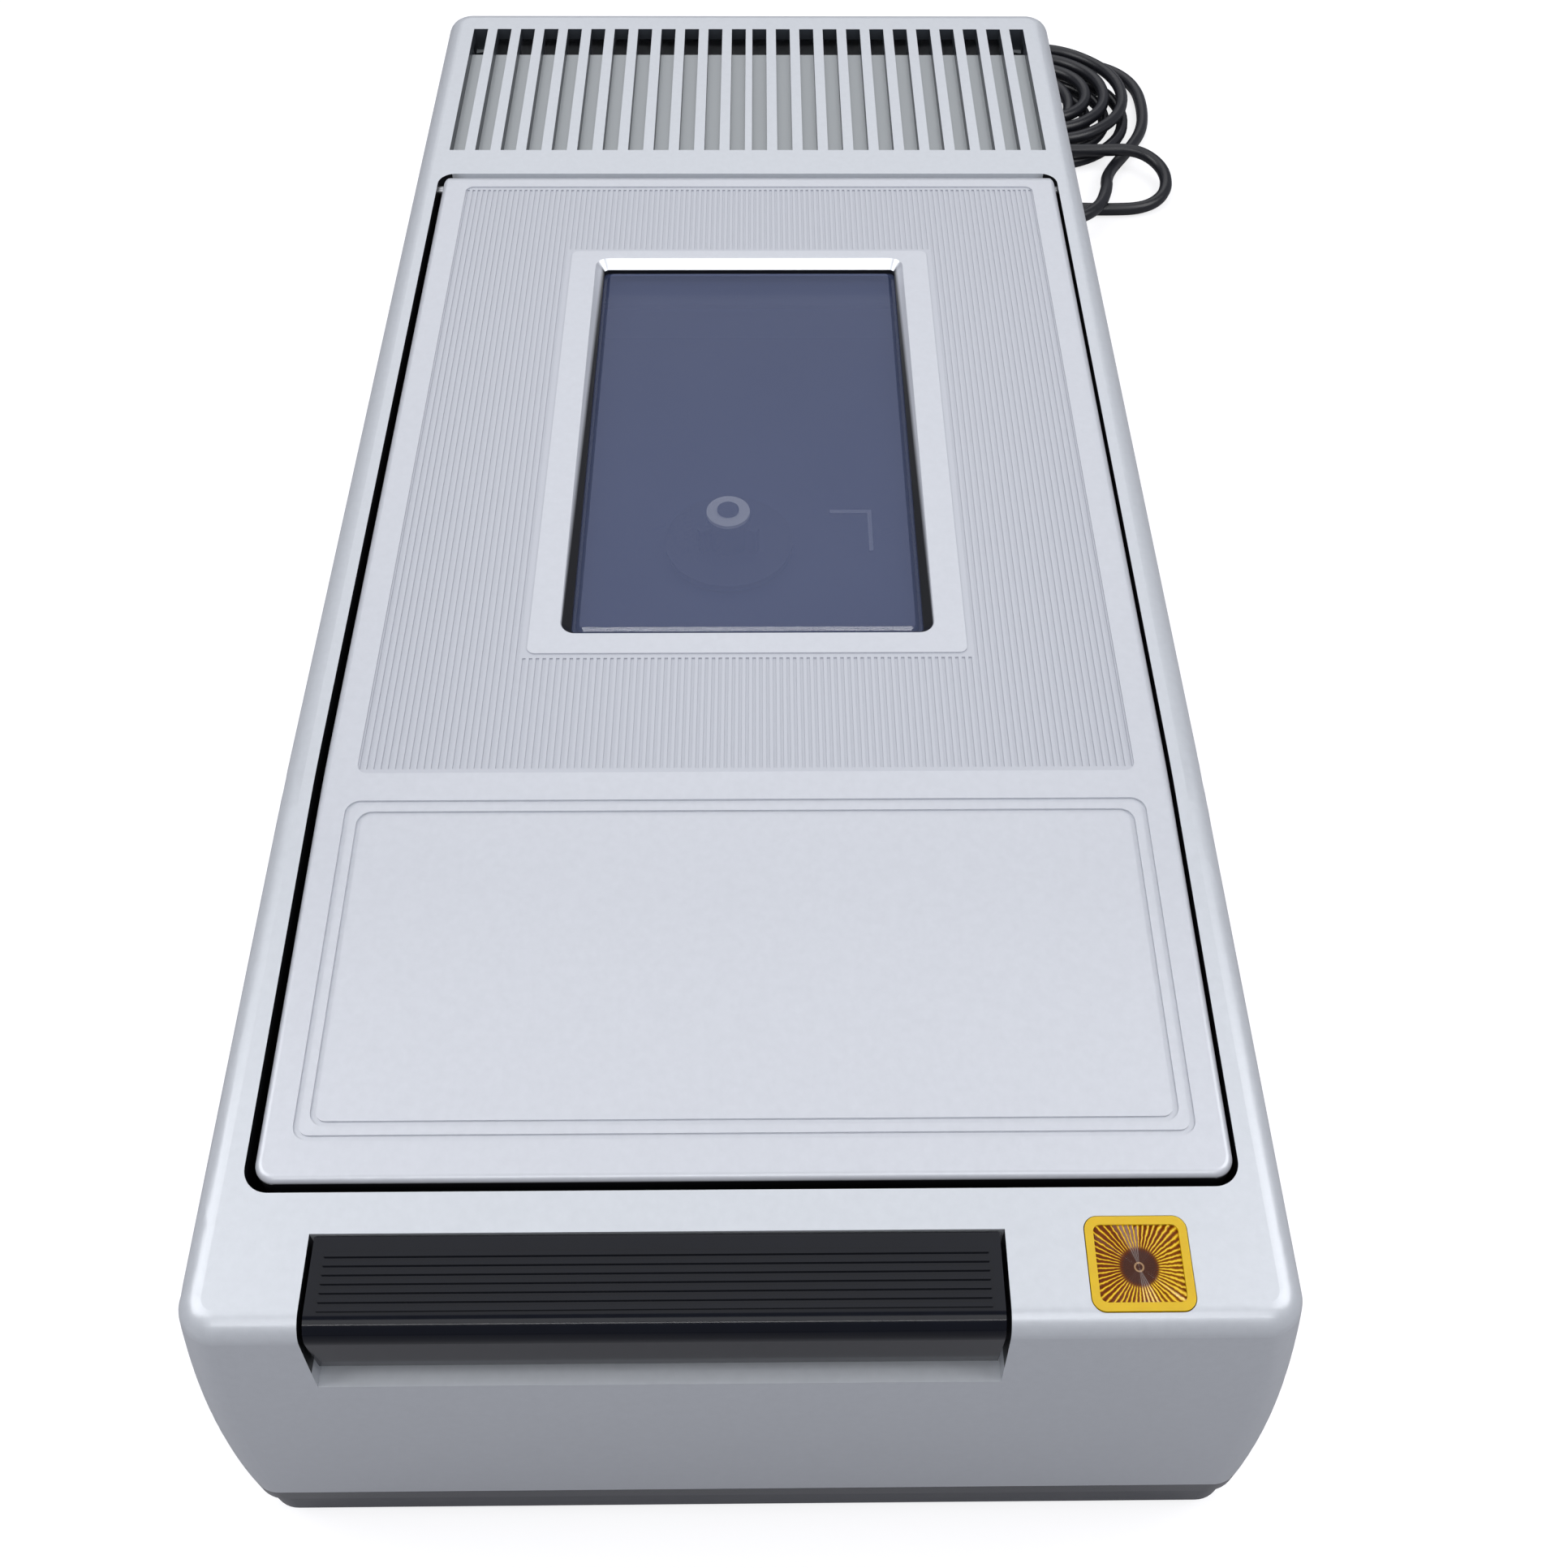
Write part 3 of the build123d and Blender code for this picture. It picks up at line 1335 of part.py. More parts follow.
with BuildPart() as transformer_core:
    with BuildSketch(Plane.XZ.offset(-core_y)):
        with Locations((core_x, core_bottom + core_height / 2)):
            Rectangle(core_width, core_height)
            with Locations((-window_centre, 0), (window_centre, 0)):
                Rectangle(core_window, core_window_height, mode=Mode.SUBTRACT)
    extrude(amount=core_stack / 2, both=True)

with BuildPart() as transformer_coil:
    with BuildSketch(Plane.XY.offset(core_bottom + core_yoke + core_play)):
        with Locations((core_x, core_y)):
            RectangleRounded(core_leg + 2 * core_window - 4 * core_play, coil_depth, coil_corner)
            Rectangle(core_leg + 2 * core_play, core_stack + 2 * core_play, mode=Mode.SUBTRACT)
    extrude(amount=core_window_height - 2 * core_play)

with BuildPart() as transformer_clamp:
    strap_half = core_width / 2 + seat_play
    strap_top = core_bottom + core_height + seat_play
    with BuildSketch(Plane.XZ.offset(-core_y)):
        with BuildLine():
            Polyline(
                (core_x - strap_half - clamp_foot, core_bottom + clamp_sheet / 2),
                (core_x - strap_half - clamp_sheet / 2, core_bottom + clamp_sheet / 2),
                (core_x - strap_half - clamp_sheet / 2, strap_top + clamp_sheet / 2),
                (core_x + strap_half + clamp_sheet / 2, strap_top + clamp_sheet / 2),
                (core_x + strap_half + clamp_sheet / 2, core_bottom + clamp_sheet / 2),
                (core_x + strap_half + clamp_foot, core_bottom + clamp_sheet / 2),
            )
        trace(line_width=clamp_sheet)
    extrude(amount=core_stack / 2 - 1, both=True)
    hole_x = strap_half + clamp_foot - clamp_hole_inset
    with Locations([(core_x + side * hole_x, core_y, core_bottom) for side in (-1, 1)]):
        Cylinder(screw_radius + screw_play, 4 * clamp_sheet, mode=Mode.SUBTRACT)

board_top = board_bottom + board_thickness

with BuildPart() as circuit_board:
    with BuildSketch(Plane.XY.offset(board_bottom)):
        with Locations((board_x, board_y)):
            Rectangle(board_length, board_width)
    extrude(amount=board_thickness)

with BuildPart() as capacitor:
    with Locations((board_x - capacitor_inset, board_y, board_top)):
        Cylinder(capacitor_radius, capacitor_height, align=stand)
    fillet(capacitor.edges().group_by(Axis.Z)[-1], radius=capacitor_edge)

with BuildPart() as fuse:
    # glass tube in two clips
    with Locations((board_x + fuse_x, board_y + fuse_y, board_top + fuse_lift)):
        Cylinder(fuse_radius, fuse_length, rotation=along_x)
        with Locations((-fuse_clip_x, 0, 0), (fuse_clip_x, 0, 0)):
            Box(fuse_clip_length, fuse_clip_width, fuse_lift, align=hang)

with BuildPart() as rectifier_diodes:
    diode_sites = [
        (board_x + 1 + i * diode_pitch, board_y + diode_y, board_top + diode_lift) for i in range(diode_count)
    ]
    with Locations(diode_sites):
        Cylinder(diode_radius, diode_length, rotation=along_y)
        Cylinder(diode_lead_radius, 2 * diode_lead_span + diode_lead_width, rotation=along_y)
        with Locations((0, -diode_lead_span, 0), (0, diode_lead_span, 0)):
            Box(diode_lead_width, diode_lead_width, diode_lift, align=hang)

# ---- start lever -------------------------------------------------------------------------
with BuildPart() as start_lever:
    with BuildSketch(Plane.YZ.offset(lever_x - lever_width / 2)):
        with BuildLine():
            Polyline(
                (lever_y - lever_heel, lever_pivot_z - lever_heel),
                (lever_y + lever_reach, lever_pivot_z - lever_belly),
                (lever_y + lever_reach, lever_top - lever_nose),
                (lever_y + lever_reach - lever_nose, lever_top),
                (lever_y + lever_reach - 2 * lever_nose, lever_top - lever_nose),
                (lever_y + lever_reach - 2 * lever_nose, lever_pivot_z + lever_bar),
                (lever_y - lever_heel, lever_pivot_z + lever_heel),
                close=True,
            )
        make_face()
    extrude(amount=lever_width)
    with Locations((lever_x, lever_y, lever_pivot_z)):
        Cylinder(latch_pin_radius, lever_width + 2 * slot_play + 2 * ear_sheet, rotation=along_x)

with BuildPart() as leaf_switch:
    # body on the deck's underside with a contact strip under the lever's tip
    with Locations((lever_x, lever_y + lever_reach + switch_length, deck_bottom)):
        Box(switch_width, switch_length, switch_height, align=hang)
    leaf_rear = lever_y + lever_reach + switch_length / 2 + 0.5
    with Locations((lever_x, leaf_rear, deck_bottom - switch_height + 0.5)):
        Box(leaf_width, leaf_length, leaf_sheet, align=(Align.CENTER, Align.MAX, Align.MAX))

# ---- cord --------------------------------------------------------------------------------
cord_radius = cord_diameter / 2
relief_tip = length / 2 + relief_length

with BuildPart() as strain_relief:
    inner_face = length / 2 - lip_inset - lip_thickness
    with BuildSketch(Plane.XY.offset(parting_height)):
        with BuildLine():
            Polyline(
                (relief_x, inner_face - relief_flange),
                (relief_x + relief_flange_radius, inner_face - relief_flange),
                (relief_x + relief_flange_radius, inner_face),
                (relief_x + relief_neck_radius - touch, inner_face),
                (relief_x + relief_neck_radius - touch, length / 2 + seat_play),
                (relief_x + relief_flange_radius, length / 2 + seat_play),
                (relief_x + relief_flange_radius, length / 2 + relief_collar),
                (relief_x + relief_root_radius, length / 2 + relief_shoulder),
                (relief_x + relief_tip_radius, relief_tip),
                (relief_x, relief_tip),
                close=True,
            )
        make_face()
    revolve(axis=Axis((relief_x, 0, parting_height), (0, 1, 0)))

end_high = end_lift + layer_step
hank_entry = (hank_right + cord_diameter, hank_y - hank_outer_radius, end_high)
hank_exit = (hank_right + cord_diameter, hank_y + hank_outer_radius, end_lift)
plug_mouth = plug_x + plug_length / 2 + plug_collar

# the lead leaves the case, lies along its rear, swings out past its right side and back into the hank
lead_points = [
    (relief_x, relief_tip, parting_height),
    (relief_x, 179.5, 9.0),
    (-7.5, 187.5, 6.2),
    (-0.5, 193.0, 3.0),
    (9.5, 193.8, end_lift),
    (24.0, 190.6, end_lift),
    (56.0, 180.6, end_lift),
    (70.0, 176.6, end_lift),
    (82.0, 174.2, end_lift),
    (93.0, 173.6, end_lift),
    (104.2, 174.2, end_lift),
    (110.6, 180.6, 2.4),
    (110.6, 189.2, 4.2),
    (104.2, 195.6, end_high),
    (93.5, hank_entry[1], end_high),
    hank_entry,
]
# the other end makes the hank's far lobe, dips under the lead, crosses over it and runs to the plug
tail_points = [
    hank_exit,
    (94.0, hank_exit[1], end_lift),
    (104.0, 243.0, end_lift),
    (109.6, 234.0, end_lift),
    (110.0, 222.0, end_lift),
    (108.2, 211.0, end_lift),
    (102.8, 201.0, end_lift),
    (97.3, 192.5, 1.8),
    (94.5, 184.5, 3.6),
    (93.6, 177.5, 5.6),
    (90.5, 168.5, 5.7),
    (83.0, 162.3, 5.9),
    (72.0, plug_y, plug_height / 2),
    (plug_mouth, plug_y, plug_height / 2),
]


def tangent_radii(points):
    """Arc radii as large as the two runs at each corner allow."""
    radii = []
    for before, corner, after in zip(points, points[1:], points[2:]):
        incoming = Vector(*corner) - Vector(*before)
        outgoing = Vector(*after) - Vector(*corner)
        turn = radians(incoming.get_angle(outgoing))
        radii.append(bend_share * min(incoming.length, outgoing.length) / tan(turn / 2))
    return radii


def cord_tube(points, name):
    """Tube along straight runs joined by tangent arcs; prints its radii and checks its volume."""
    radii = tangent_radii(points)
    with BuildPart() as tube:
        with BuildLine() as path:
            FilletPolyline(*points, radius=radii)
        run = path.wire()
        with BuildSketch(Plane(run @ 0, z_dir=run % 0)):
            Circle(cord_radius)
        sweep()
    expected = pi * cord_radius**2 * run.length
    print(name, "least radius", round(min(radii), 1), "of", [round(r) for r in radii])
    print(name, "length", round(run.length, 1), "volume share", round(tube.part.volume / expected, 4))
    return tube


cord_lead = cord_tube(lead_points, "cord_lead")
cord_tail = cord_tube(tail_points, "cord_tail")


def eased_run(start, end):
    """Two equal arcs between points, level along X at both ends."""
    heading = (1 if end[0] > start[0] else -1, 0, 0)
    middle = Vector(*[(a + b) / 2 for a, b in zip(start, end)])
    first = TangentArc(start, middle, tangent=heading)
    TangentArc(middle, end, tangent=first % 1)


def half_turn(start, end, side):
    """Half circle from one run to the next, bulging to this side in X."""
    reach = dist(start, end) / 2
    apex = (start[0] + side * reach, (start[1] + end[1]) / 2, (start[2] + end[2]) / 2)
    ThreePointArc(start, apex, end)


waist_x = (hank_left + hank_right) / 2
# nest place 0 is the outermost: inward on the upper layer, outward again on the lower one
places = [(place, 1) for place in range(hank_turns)] + [(place, 0) for place in reversed(range(hank_turns))]

with BuildPart() as cord_hank:
    with BuildLine() as hank_path:
        Line(hank_entry, (hank_right, *hank_entry[1:]))
        start_x = hank_right
        for count, (place, layer) in enumerate(places):
            end_y = hank_outer_radius - place * hank_step
            waist_y = (hank_turns - place - 0.5) * waist_step
            end_z = end_lift + layer * layer_step
            waist_z = waist_lift + layer * layer_step
            last = count == len(places) - 1
            next_place, next_layer = places[min(count + 1, len(places) - 1)]
            next_y = hank_outer_radius - next_place * hank_step
            next_z = end_lift + next_layer * layer_step
            turn_x = hank_right if next_layer == layer else hank_right - climb_inset
            lower_right = (start_x, hank_y - end_y, end_z)
            lower_left = (hank_left, hank_y - end_y, end_z)
            upper_left = (hank_left, hank_y + end_y, end_z)
            upper_right = (turn_x, hank_y + end_y, end_z)
            eased_run(lower_right, (waist_x, hank_y - waist_y, waist_z))
            eased_run((waist_x, hank_y - waist_y, waist_z), lower_left)
            half_turn(lower_left, upper_left, -1)
            eased_run(upper_left, (waist_x, hank_y + waist_y, waist_z))
            eased_run((waist_x, hank_y + waist_y, waist_z), upper_right)
            if not last:
                half_turn(upper_right, (turn_x, hank_y - next_y, next_z), 1)
            start_x = turn_x
        Line((hank_right, *hank_exit[1:]), hank_exit)
    with BuildSketch(Plane(hank_entry, z_dir=(-1, 0, 0))):
        Circle(cord_radius)
    sweep()

hank_run = hank_path.wire()
samples = int(hank_run.length / cord_radius)
trail = [tuple(hank_run @ (i / samples)) for i in range(samples + 1)]
apart = int(4 * cord_diameter / cord_radius)
least = min(dist(trail[i], trail[j]) for i in range(len(trail)) for j in range(i + apart, len(trail)))
print("cord_hank length", round(hank_run.length, 1), "least gap", round(least - cord_diameter, 2))
print("cord_hank volume share", round(cord_hank.part.volume / (pi * cord_radius**2 * hank_run.length), 4))

tie_half = (hank_turns - 0.5) * waist_step + cord_radius + tie_play
tie_low = tie_thickness
tie_high = waist_lift + layer_step + cord_radius + tie_play

with BuildPart() as cord_tie:
    with BuildSketch(Plane.YZ.offset(waist_x - tie_width / 2)):
        with Locations((hank_y, (tie_low + tie_high) / 2)):
            RectangleRounded(
                2 * (tie_half + tie_thickness), tie_high - tie_low + 2 * tie_thickness, tie_corner
            )
            RectangleRounded(
                2 * tie_half, tie_high - tie_low, tie_corner - tie_thickness, mode=Mode.SUBTRACT
            )
    extrude(amount=tie_width)

with BuildPart() as wall_plug:
    with Locations((plug_x, plug_y, plug_height / 2)):
        Box(plug_length, plug_width, plug_height)
    fillet(wall_plug.edges().filter_by(Axis.X), radius=plug_corner)
    fillet(wall_plug.faces().sort_by(Axis.X)[-1].edges(), radius=plug_edge)
    with Locations((plug_mouth - plug_collar / 2 - 1, plug_y, plug_height / 2)):
        Cylinder(plug_collar_radius, plug_collar + 2, rotation=along_x)

with BuildPart() as plug_blades:
    for side in (-1, 1):
        with Locations((plug_x - plug_length / 2, plug_y + side * blade_spacing / 2, plug_height / 2)):
            Box(
                blade_length,
                blade_thickness,
                blade_height,
                align=(Align.MAX, Align.CENTER, Align.CENTER),
            )
    with Locations((plug_x - plug_length / 2 - blade_length + blade_hole_inset, plug_y, plug_height / 2)):
        Cylinder(blade_hole_radius, 4 * blade_spacing, rotation=along_y, mode=Mode.SUBTRACT)

# ---- files -------------------------------------------------------------------------------
pieces = {
    "upper_housing": upper_housing,
    "lower_housing": lower_housing,
    "rubber_feet": rubber_feet,
    "housing_screws": housing_screws,
    "deck_screws": deck_screws,
    "bracket_screws": bracket_screws,
    "deck_tray": deck_tray,
    "lid_panel": lid_panel,
    "window_pane": window_pane,
    "hinge_pins": hinge_pins,
    "cassette_holder": cassette_holder,
    "holder_screws": holder_screws,
    "hold_down_springs": hold_down_springs,
    "eject_bar": eject_bar,
    "latch_lever": latch_lever,
    "latch_pin": latch_pin,
    "latch_spring": latch_spring,
    "amber_lens": amber_lens,
    "indicator_lamp": indicator_lamp,
    "drive_spindle": drive_spindle,
    "drive_shaft": drive_shaft,
    "drive_gear": drive_gear,
    "idle_spindle": idle_spindle,
    "idle_shaft": idle_shaft,
    "reduction_pulley": reduction_pulley,
    "reduction_axle": reduction_axle,
    "drive_belt": drive_belt,
    "motor": motor,
    "motor_shaft": motor_shaft,
    "motor_pulley": motor_pulley,
    "motor_bracket": motor_bracket,
    "transformer_core": transformer_core,
    "transformer_coil": transformer_coil,
    "transformer_clamp": transformer_clamp,
    "circuit_board": circuit_board,
    "capacitor": capacitor,
    "fuse": fuse,
    "rectifier_diodes": rectifier_diodes,
    "start_lever": start_lever,
    "leaf_switch": leaf_switch,
    "strain_relief": strain_relief,
    "cord_lead": cord_lead,
    "cord_hank": cord_hank,
    "cord_tail": cord_tail,
    "cord_tie": cord_tie,
    "wall_plug": wall_plug,
    "plug_blades": plug_blades,
}
os.makedirs("parts", exist_ok=True)
for label, piece in pieces.items():
    piece.part.label = label
    export_step(piece.part, f"parts/{label}.step")
print(len(pieces), "pieces written")
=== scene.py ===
from math import atan2, cos, pi, radians, sin

import bmesh
import bpy
from mathutils import Matrix, Vector


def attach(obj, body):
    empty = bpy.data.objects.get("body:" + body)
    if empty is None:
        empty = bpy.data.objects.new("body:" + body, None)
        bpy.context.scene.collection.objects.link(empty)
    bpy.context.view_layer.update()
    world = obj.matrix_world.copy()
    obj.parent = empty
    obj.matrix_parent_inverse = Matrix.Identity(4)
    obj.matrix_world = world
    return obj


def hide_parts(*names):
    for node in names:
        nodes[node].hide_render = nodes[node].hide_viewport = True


# Video cassette rewinder: looks, cord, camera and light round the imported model.
# Metres, +Z up, front of the case towards -Y.

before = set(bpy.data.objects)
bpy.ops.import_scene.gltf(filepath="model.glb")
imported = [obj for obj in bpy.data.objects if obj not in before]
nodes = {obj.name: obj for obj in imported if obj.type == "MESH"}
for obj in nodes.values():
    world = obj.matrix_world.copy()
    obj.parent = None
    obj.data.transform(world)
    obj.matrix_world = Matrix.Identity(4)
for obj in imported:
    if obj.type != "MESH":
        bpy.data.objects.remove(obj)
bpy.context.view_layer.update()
print("frame loaded,", len(nodes), "nodes")

# the view of the photograph
camera = {
    "place": (0.00303, -0.20556, 0.25127),
    "right": (0.99993, -0.00991, 0.00613),
    "up": (0.00420, 0.79687, 0.60413),
    "ahead": (0.01087, 0.60407, -0.79686),
    "lens": 37.27,  # mm
    "sensor": 36,  # mm wide
    "clip": (0.01, 20),
}


def placeCamera():
    data = bpy.data.cameras.new("mainCamera")
    data.lens = camera["lens"]
    data.sensor_width = camera["sensor"]
    data.clip_start, data.clip_end = camera["clip"]
    cam = bpy.data.objects.new("mainCamera", data)
    bpy.context.collection.objects.link(cam)
    back = -Vector(camera["ahead"])
    turn = Matrix((camera["right"], camera["up"], back)).transposed()
    cam.matrix_world = Matrix.Translation(camera["place"]) @ turn.to_4x4()
    bpy.context.scene.camera = cam


placeCamera()
print("camera placed")

# mains cord, 3.2 mm round: out of the rear, into a tied hank, back to the plug
cord = {
    "diameter": 0.0032,
    "lead": [
        (-0.0100, 0.1695, 0.0100), (-0.0100, 0.1795, 0.0090), (-0.0075, 0.1875, 0.0062),
        (-0.0005, 0.1930, 0.0030), (0.0095, 0.1938, 0.0017), (0.0240, 0.1906, 0.0017),
        (0.0560, 0.1806, 0.0017), (0.0700, 0.1766, 0.0017), (0.0820, 0.1742, 0.0017),
        (0.0930, 0.1736, 0.0017), (0.1042, 0.1742, 0.0017), (0.1106, 0.1806, 0.0024),
        (0.1106, 0.1892, 0.0042), (0.1042, 0.1956, 0.0057), (0.0935, 0.1950, 0.0057),
    ],
    "tail": [
        (0.0940, 0.2470, 0.0017), (0.1040, 0.2430, 0.0017), (0.1096, 0.2340, 0.0017),
        (0.1100, 0.2220, 0.0017), (0.1082, 0.2110, 0.0017), (0.1028, 0.2010, 0.0017),
        (0.0973, 0.1925, 0.0018), (0.0945, 0.1845, 0.0036), (0.0936, 0.1775, 0.0056),
        (0.0905, 0.1685, 0.0057), (0.0830, 0.1623, 0.0059), (0.0720, 0.1610, 0.0060),
        (0.0580, 0.1610, 0.0060),
    ],
}
hank = {
    "middle": 0.221,  # Y
    "left": 0.028,
    "right": 0.080,
    "turns": 4,  # side by side in each of two layers
    "reach": 0.026,  # outermost strand from the middle, at the ends
    "step": 0.0051,
    "waistStep": 0.0050,
    "low": 0.0017,
    "waistLow": 0.0027,
    "layer": 0.0040,
    "climbInset": 0.0020,
}


def turnPoints(x, start, end, side):
    # four points round a half turn, from one run to the next, 45 degrees apart
    reach = abs(end[0] - start[0]) / 2
    middle = (start[0] + end[0]) / 2
    sign = 1 if start[0] > end[0] else -1
    points = []
    flank = cos(radians(45 / 2))
    for i in range(4):
        angle = radians(45 * (i + 1 / 2))
        out = reach / flank
        share = (1 - cos(angle) / flank) / 2
        z = start[1] + (end[1] - start[1]) * share
        points.append((x + side * out * sin(angle), middle + sign * out * cos(angle), z))
    return points


def runPoints(fromX, toX, y, waistY, z, waistZ):
    # one side of a loop, drawn in where the tie holds it
    waistX = (hank["left"] + hank["right"]) / 2
    inward = waistX - fromX
    outward = toX - waistX
    return [
        (fromX + inward / 4, y, z),
        (fromX + inward * 3 / 4, waistY, waistZ),
        (waistX + outward / 4, waistY, waistZ),
        (waistX + outward * 3 / 4, y, z),
    ]


def hankPoints():
    loops = range(hank["turns"])
    places = [(i, 1) for i in loops] + [(i, 0) for i in reversed(loops)]
    points = []
    startX = hank["right"]
    for count, (place, layer) in enumerate(places):
        reach = hank["reach"] - place * hank["step"]
        waist = (hank["turns"] - place - 0.5) * hank["waistStep"]
        z = hank["low"] + layer * hank["layer"]
        waistZ = hank["waistLow"] + layer * hank["layer"]
        last = count == len(places) - 1
        nextPlace, nextLayer = places[min(count + 1, len(places) - 1)]
        nextReach = hank["reach"] - nextPlace * hank["step"]
        nextZ = hank["low"] + nextLayer * hank["layer"]
        endX = hank["right"] if nextLayer == layer else hank["right"] - hank["climbInset"]
        low, high = hank["middle"] - reach, hank["middle"] + reach
        points += runPoints(startX, hank["left"], low, hank["middle"] - waist, z, waistZ)
        points += turnPoints(hank["left"], (low, z), (high, z), -1)
        points += runPoints(hank["left"], endX, high, hank["middle"] + waist, z, waistZ)
        if not last:
            points += turnPoints(endX, (high, z), (hank["middle"] - nextReach, nextZ), 1)
        startX = endX
    return points


def layCord():
    points = cord["lead"] + hankPoints() + cord["tail"]
    curve = bpy.data.curves.new("mainsCord", "CURVE")
    curve.dimensions = "3D"
    curve.bevel_depth = 1  # times each point's radius, which also keeps the curve's box small
    curve.bevel_resolution = 4
    curve.resolution_u = 8
    curve.use_fill_caps = True
    spline = curve.splines.new("NURBS")
    spline.points.add(len(points) - 1)
    for point, place in zip(spline.points, points):
        point.co = (*place, 1)
        point.radius = cord["diameter"] / 2
    spline.order_u = 3
    spline.use_endpoint_u = True
    piece = bpy.data.objects.new("mainsCord", curve)
    bpy.context.collection.objects.link(piece)
    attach(piece, "case")
    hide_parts("cord_lead", "cord_hank", "cord_tail")
    return piece


mainsCord = layCord()
print("cord laid")


def toLinear(code):
    parts = [int(code[i:i + 2], 16) / 255 for i in (1, 3, 5)]
    return [c / 12.92 if c <= 0.04045 else ((c + 0.055) / 1.055) ** 2.4 for c in parts] + [1]


def addNode(tree, kind, sockets=None, links=None, **settings):
    node = tree.nodes.new(kind)
    for name, value in settings.items():
        setattr(node, name, value)
    for name, value in (sockets or {}).items():
        node.inputs[name].default_value = value
    for name, source in (links or {}).items():
        tree.links.new(getattr(source, "outputs", [source])[0], node.inputs[name])
    return node


# areas of a node with a look of their own: low and high corner in millimetres
boxes = {
    "opening": ((-60.05, -126.85, 40), (60.05, 80.3, 80)),
    "deepOpening": ((-60.05, -126.85, 20), (60.05, 80.45, 65.5)),
    "recess": ((-51.3, -146, 56), (31.3, -131.7, 80)),
    "windowRear": ((-27.82, 48, 60), (28.42, 52.7, 71.34)),
    "window": ((-27.82, -40.72, 40), (28.42, 52.52, 71.2)),
    "lidFieldShade": ((-54.25, -66.95, 60), (54.85, 75.55, 71.25)),
    "withinRim": ((-56, -121.5, 40), (56.6, 90, 80)),
    "ventFloors": ((-62, 88, 60), (62, 136, 70.4)),
    "vents": ((-62, 88, 60), (62, 136, 70.95)),
    "foot": ((-90, -170, 0), (90, 170, 13.2)),
    "hubRing": ((-40, -40, 42.3), (40, 70, 43.2)),
    "deckRibHighlight": ((12, 12, 33.3), (24, 26.5, 34)),
}

# the part of the surface's own direction, and its values where a mask starts and is full
turns = {
    "openingWall": ("Z", 0.92, 0.75),
    "recessRight": ("X", 0.5, 0.7),
    "recessLeft": ("X", -0.5, -0.7),
    "slopeFront": ("Y", -0.3, -0.5),
    "slopeTop": ("Z", 0.3, 0.5),
    "lidEdge": ("Z", 0.35, 0.1),
    "lidUnder": ("Z", 0.0, -0.3),
    "ventWallShade": ("Z", 0.8, 0.4),
}

# painted shade along the window's sides ends where the silver starts, further in towards the rear
windowSideShade = {"middle": 0.0003, "taper": 0.01237, "shadeEdge": 0.0274, "painted": 0.0279}


def boxMask(tree, place, name):
    # 1 inside the box, 0 outside
    low, high = boxes[name]
    size = [(b - a) / 2000 for a, b in zip(low, high)]
    middle = [(a + b) / 2000 for a, b in zip(low, high)]
    centred = addNode(
        tree, "ShaderNodeMapping",
        {"Location": [-m / h for m, h in zip(middle, size)], "Scale": [1 / h for h in size]},
        {"Vector": place},
    )
    away = addNode(
        tree, "ShaderNodeVectorMath", None, {0: centred.outputs["Vector"]}, operation="ABSOLUTE"
    )
    split = addNode(tree, "ShaderNodeSeparateXYZ", None, {0: away.outputs[0]})
    flat = addNode(
        tree, "ShaderNodeMath", None, {0: split.outputs["X"], 1: split.outputs["Y"]},
        operation="MAXIMUM",
    )
    most = addNode(
        tree, "ShaderNodeMath", None, {0: flat.outputs[0], 1: split.outputs["Z"]},
        operation="MAXIMUM",
    )
    return addNode(
        tree, "ShaderNodeMath", {1: 1.0}, {0: most.outputs[0]}, operation="LESS_THAN"
    ).outputs[0]


def facing(tree, name):
    # 0 to 1 as the surface turns the given way
    part, low, high = turns[name]
    turned = addNode(tree, "ShaderNodeTexCoord").outputs["Normal"]
    split = addNode(tree, "ShaderNodeSeparateXYZ", None, {0: turned})
    return addNode(
        tree, "ShaderNodeMapRange", {"From Min": low, "From Max": high},
        {"Value": split.outputs[part]},
    ).outputs["Result"]


def housingGapShade(tree, place):
    # painted shade: the walls of the lid's opening and the ends of the bar's recess are
    # near-black, for the shade deep in these gaps
    opening = boxMask(tree, place, "opening")
    walls = addNode(
        tree, "ShaderNodeMath", None, {0: opening, 1: facing(tree, "openingWall")},
        operation="MULTIPLY",
    )
    deep = boxMask(tree, place, "deepOpening")
    inner = addNode(tree, "ShaderNodeMath", None, {0: walls, 1: deep}, operation="MAXIMUM")
    recess = boxMask(tree, place, "recess")
    sideways = addNode(
        tree, "ShaderNodeMath", None,
        {0: facing(tree, "recessRight"), 1: facing(tree, "recessLeft")}, operation="MAXIMUM",
    )
    ends = addNode(tree, "ShaderNodeMath", None, {0: recess, 1: sideways}, operation="MULTIPLY")
    return addNode(tree, "ShaderNodeMath", None, {0: inner, 1: ends}, operation="MAXIMUM")


def windowSlopeHighlight(tree, place):
    # painted highlight on the slope at the window's rear, which looks to the front
    window = boxMask(tree, place, "windowRear")
    turned = addNode(
        tree, "ShaderNodeMath", None,
        {0: facing(tree, "slopeFront"), 1: facing(tree, "slopeTop")}, operation="MULTIPLY",
    )
    return addNode(tree, "ShaderNodeMath", None, {0: window, 1: turned}, operation="MULTIPLY")


def lidFieldShade(tree, place):
    # painted shade: the sunken ribbed field a little darker, for the shade of its fine ribs
    return boxMask(tree, place, "lidFieldShade")


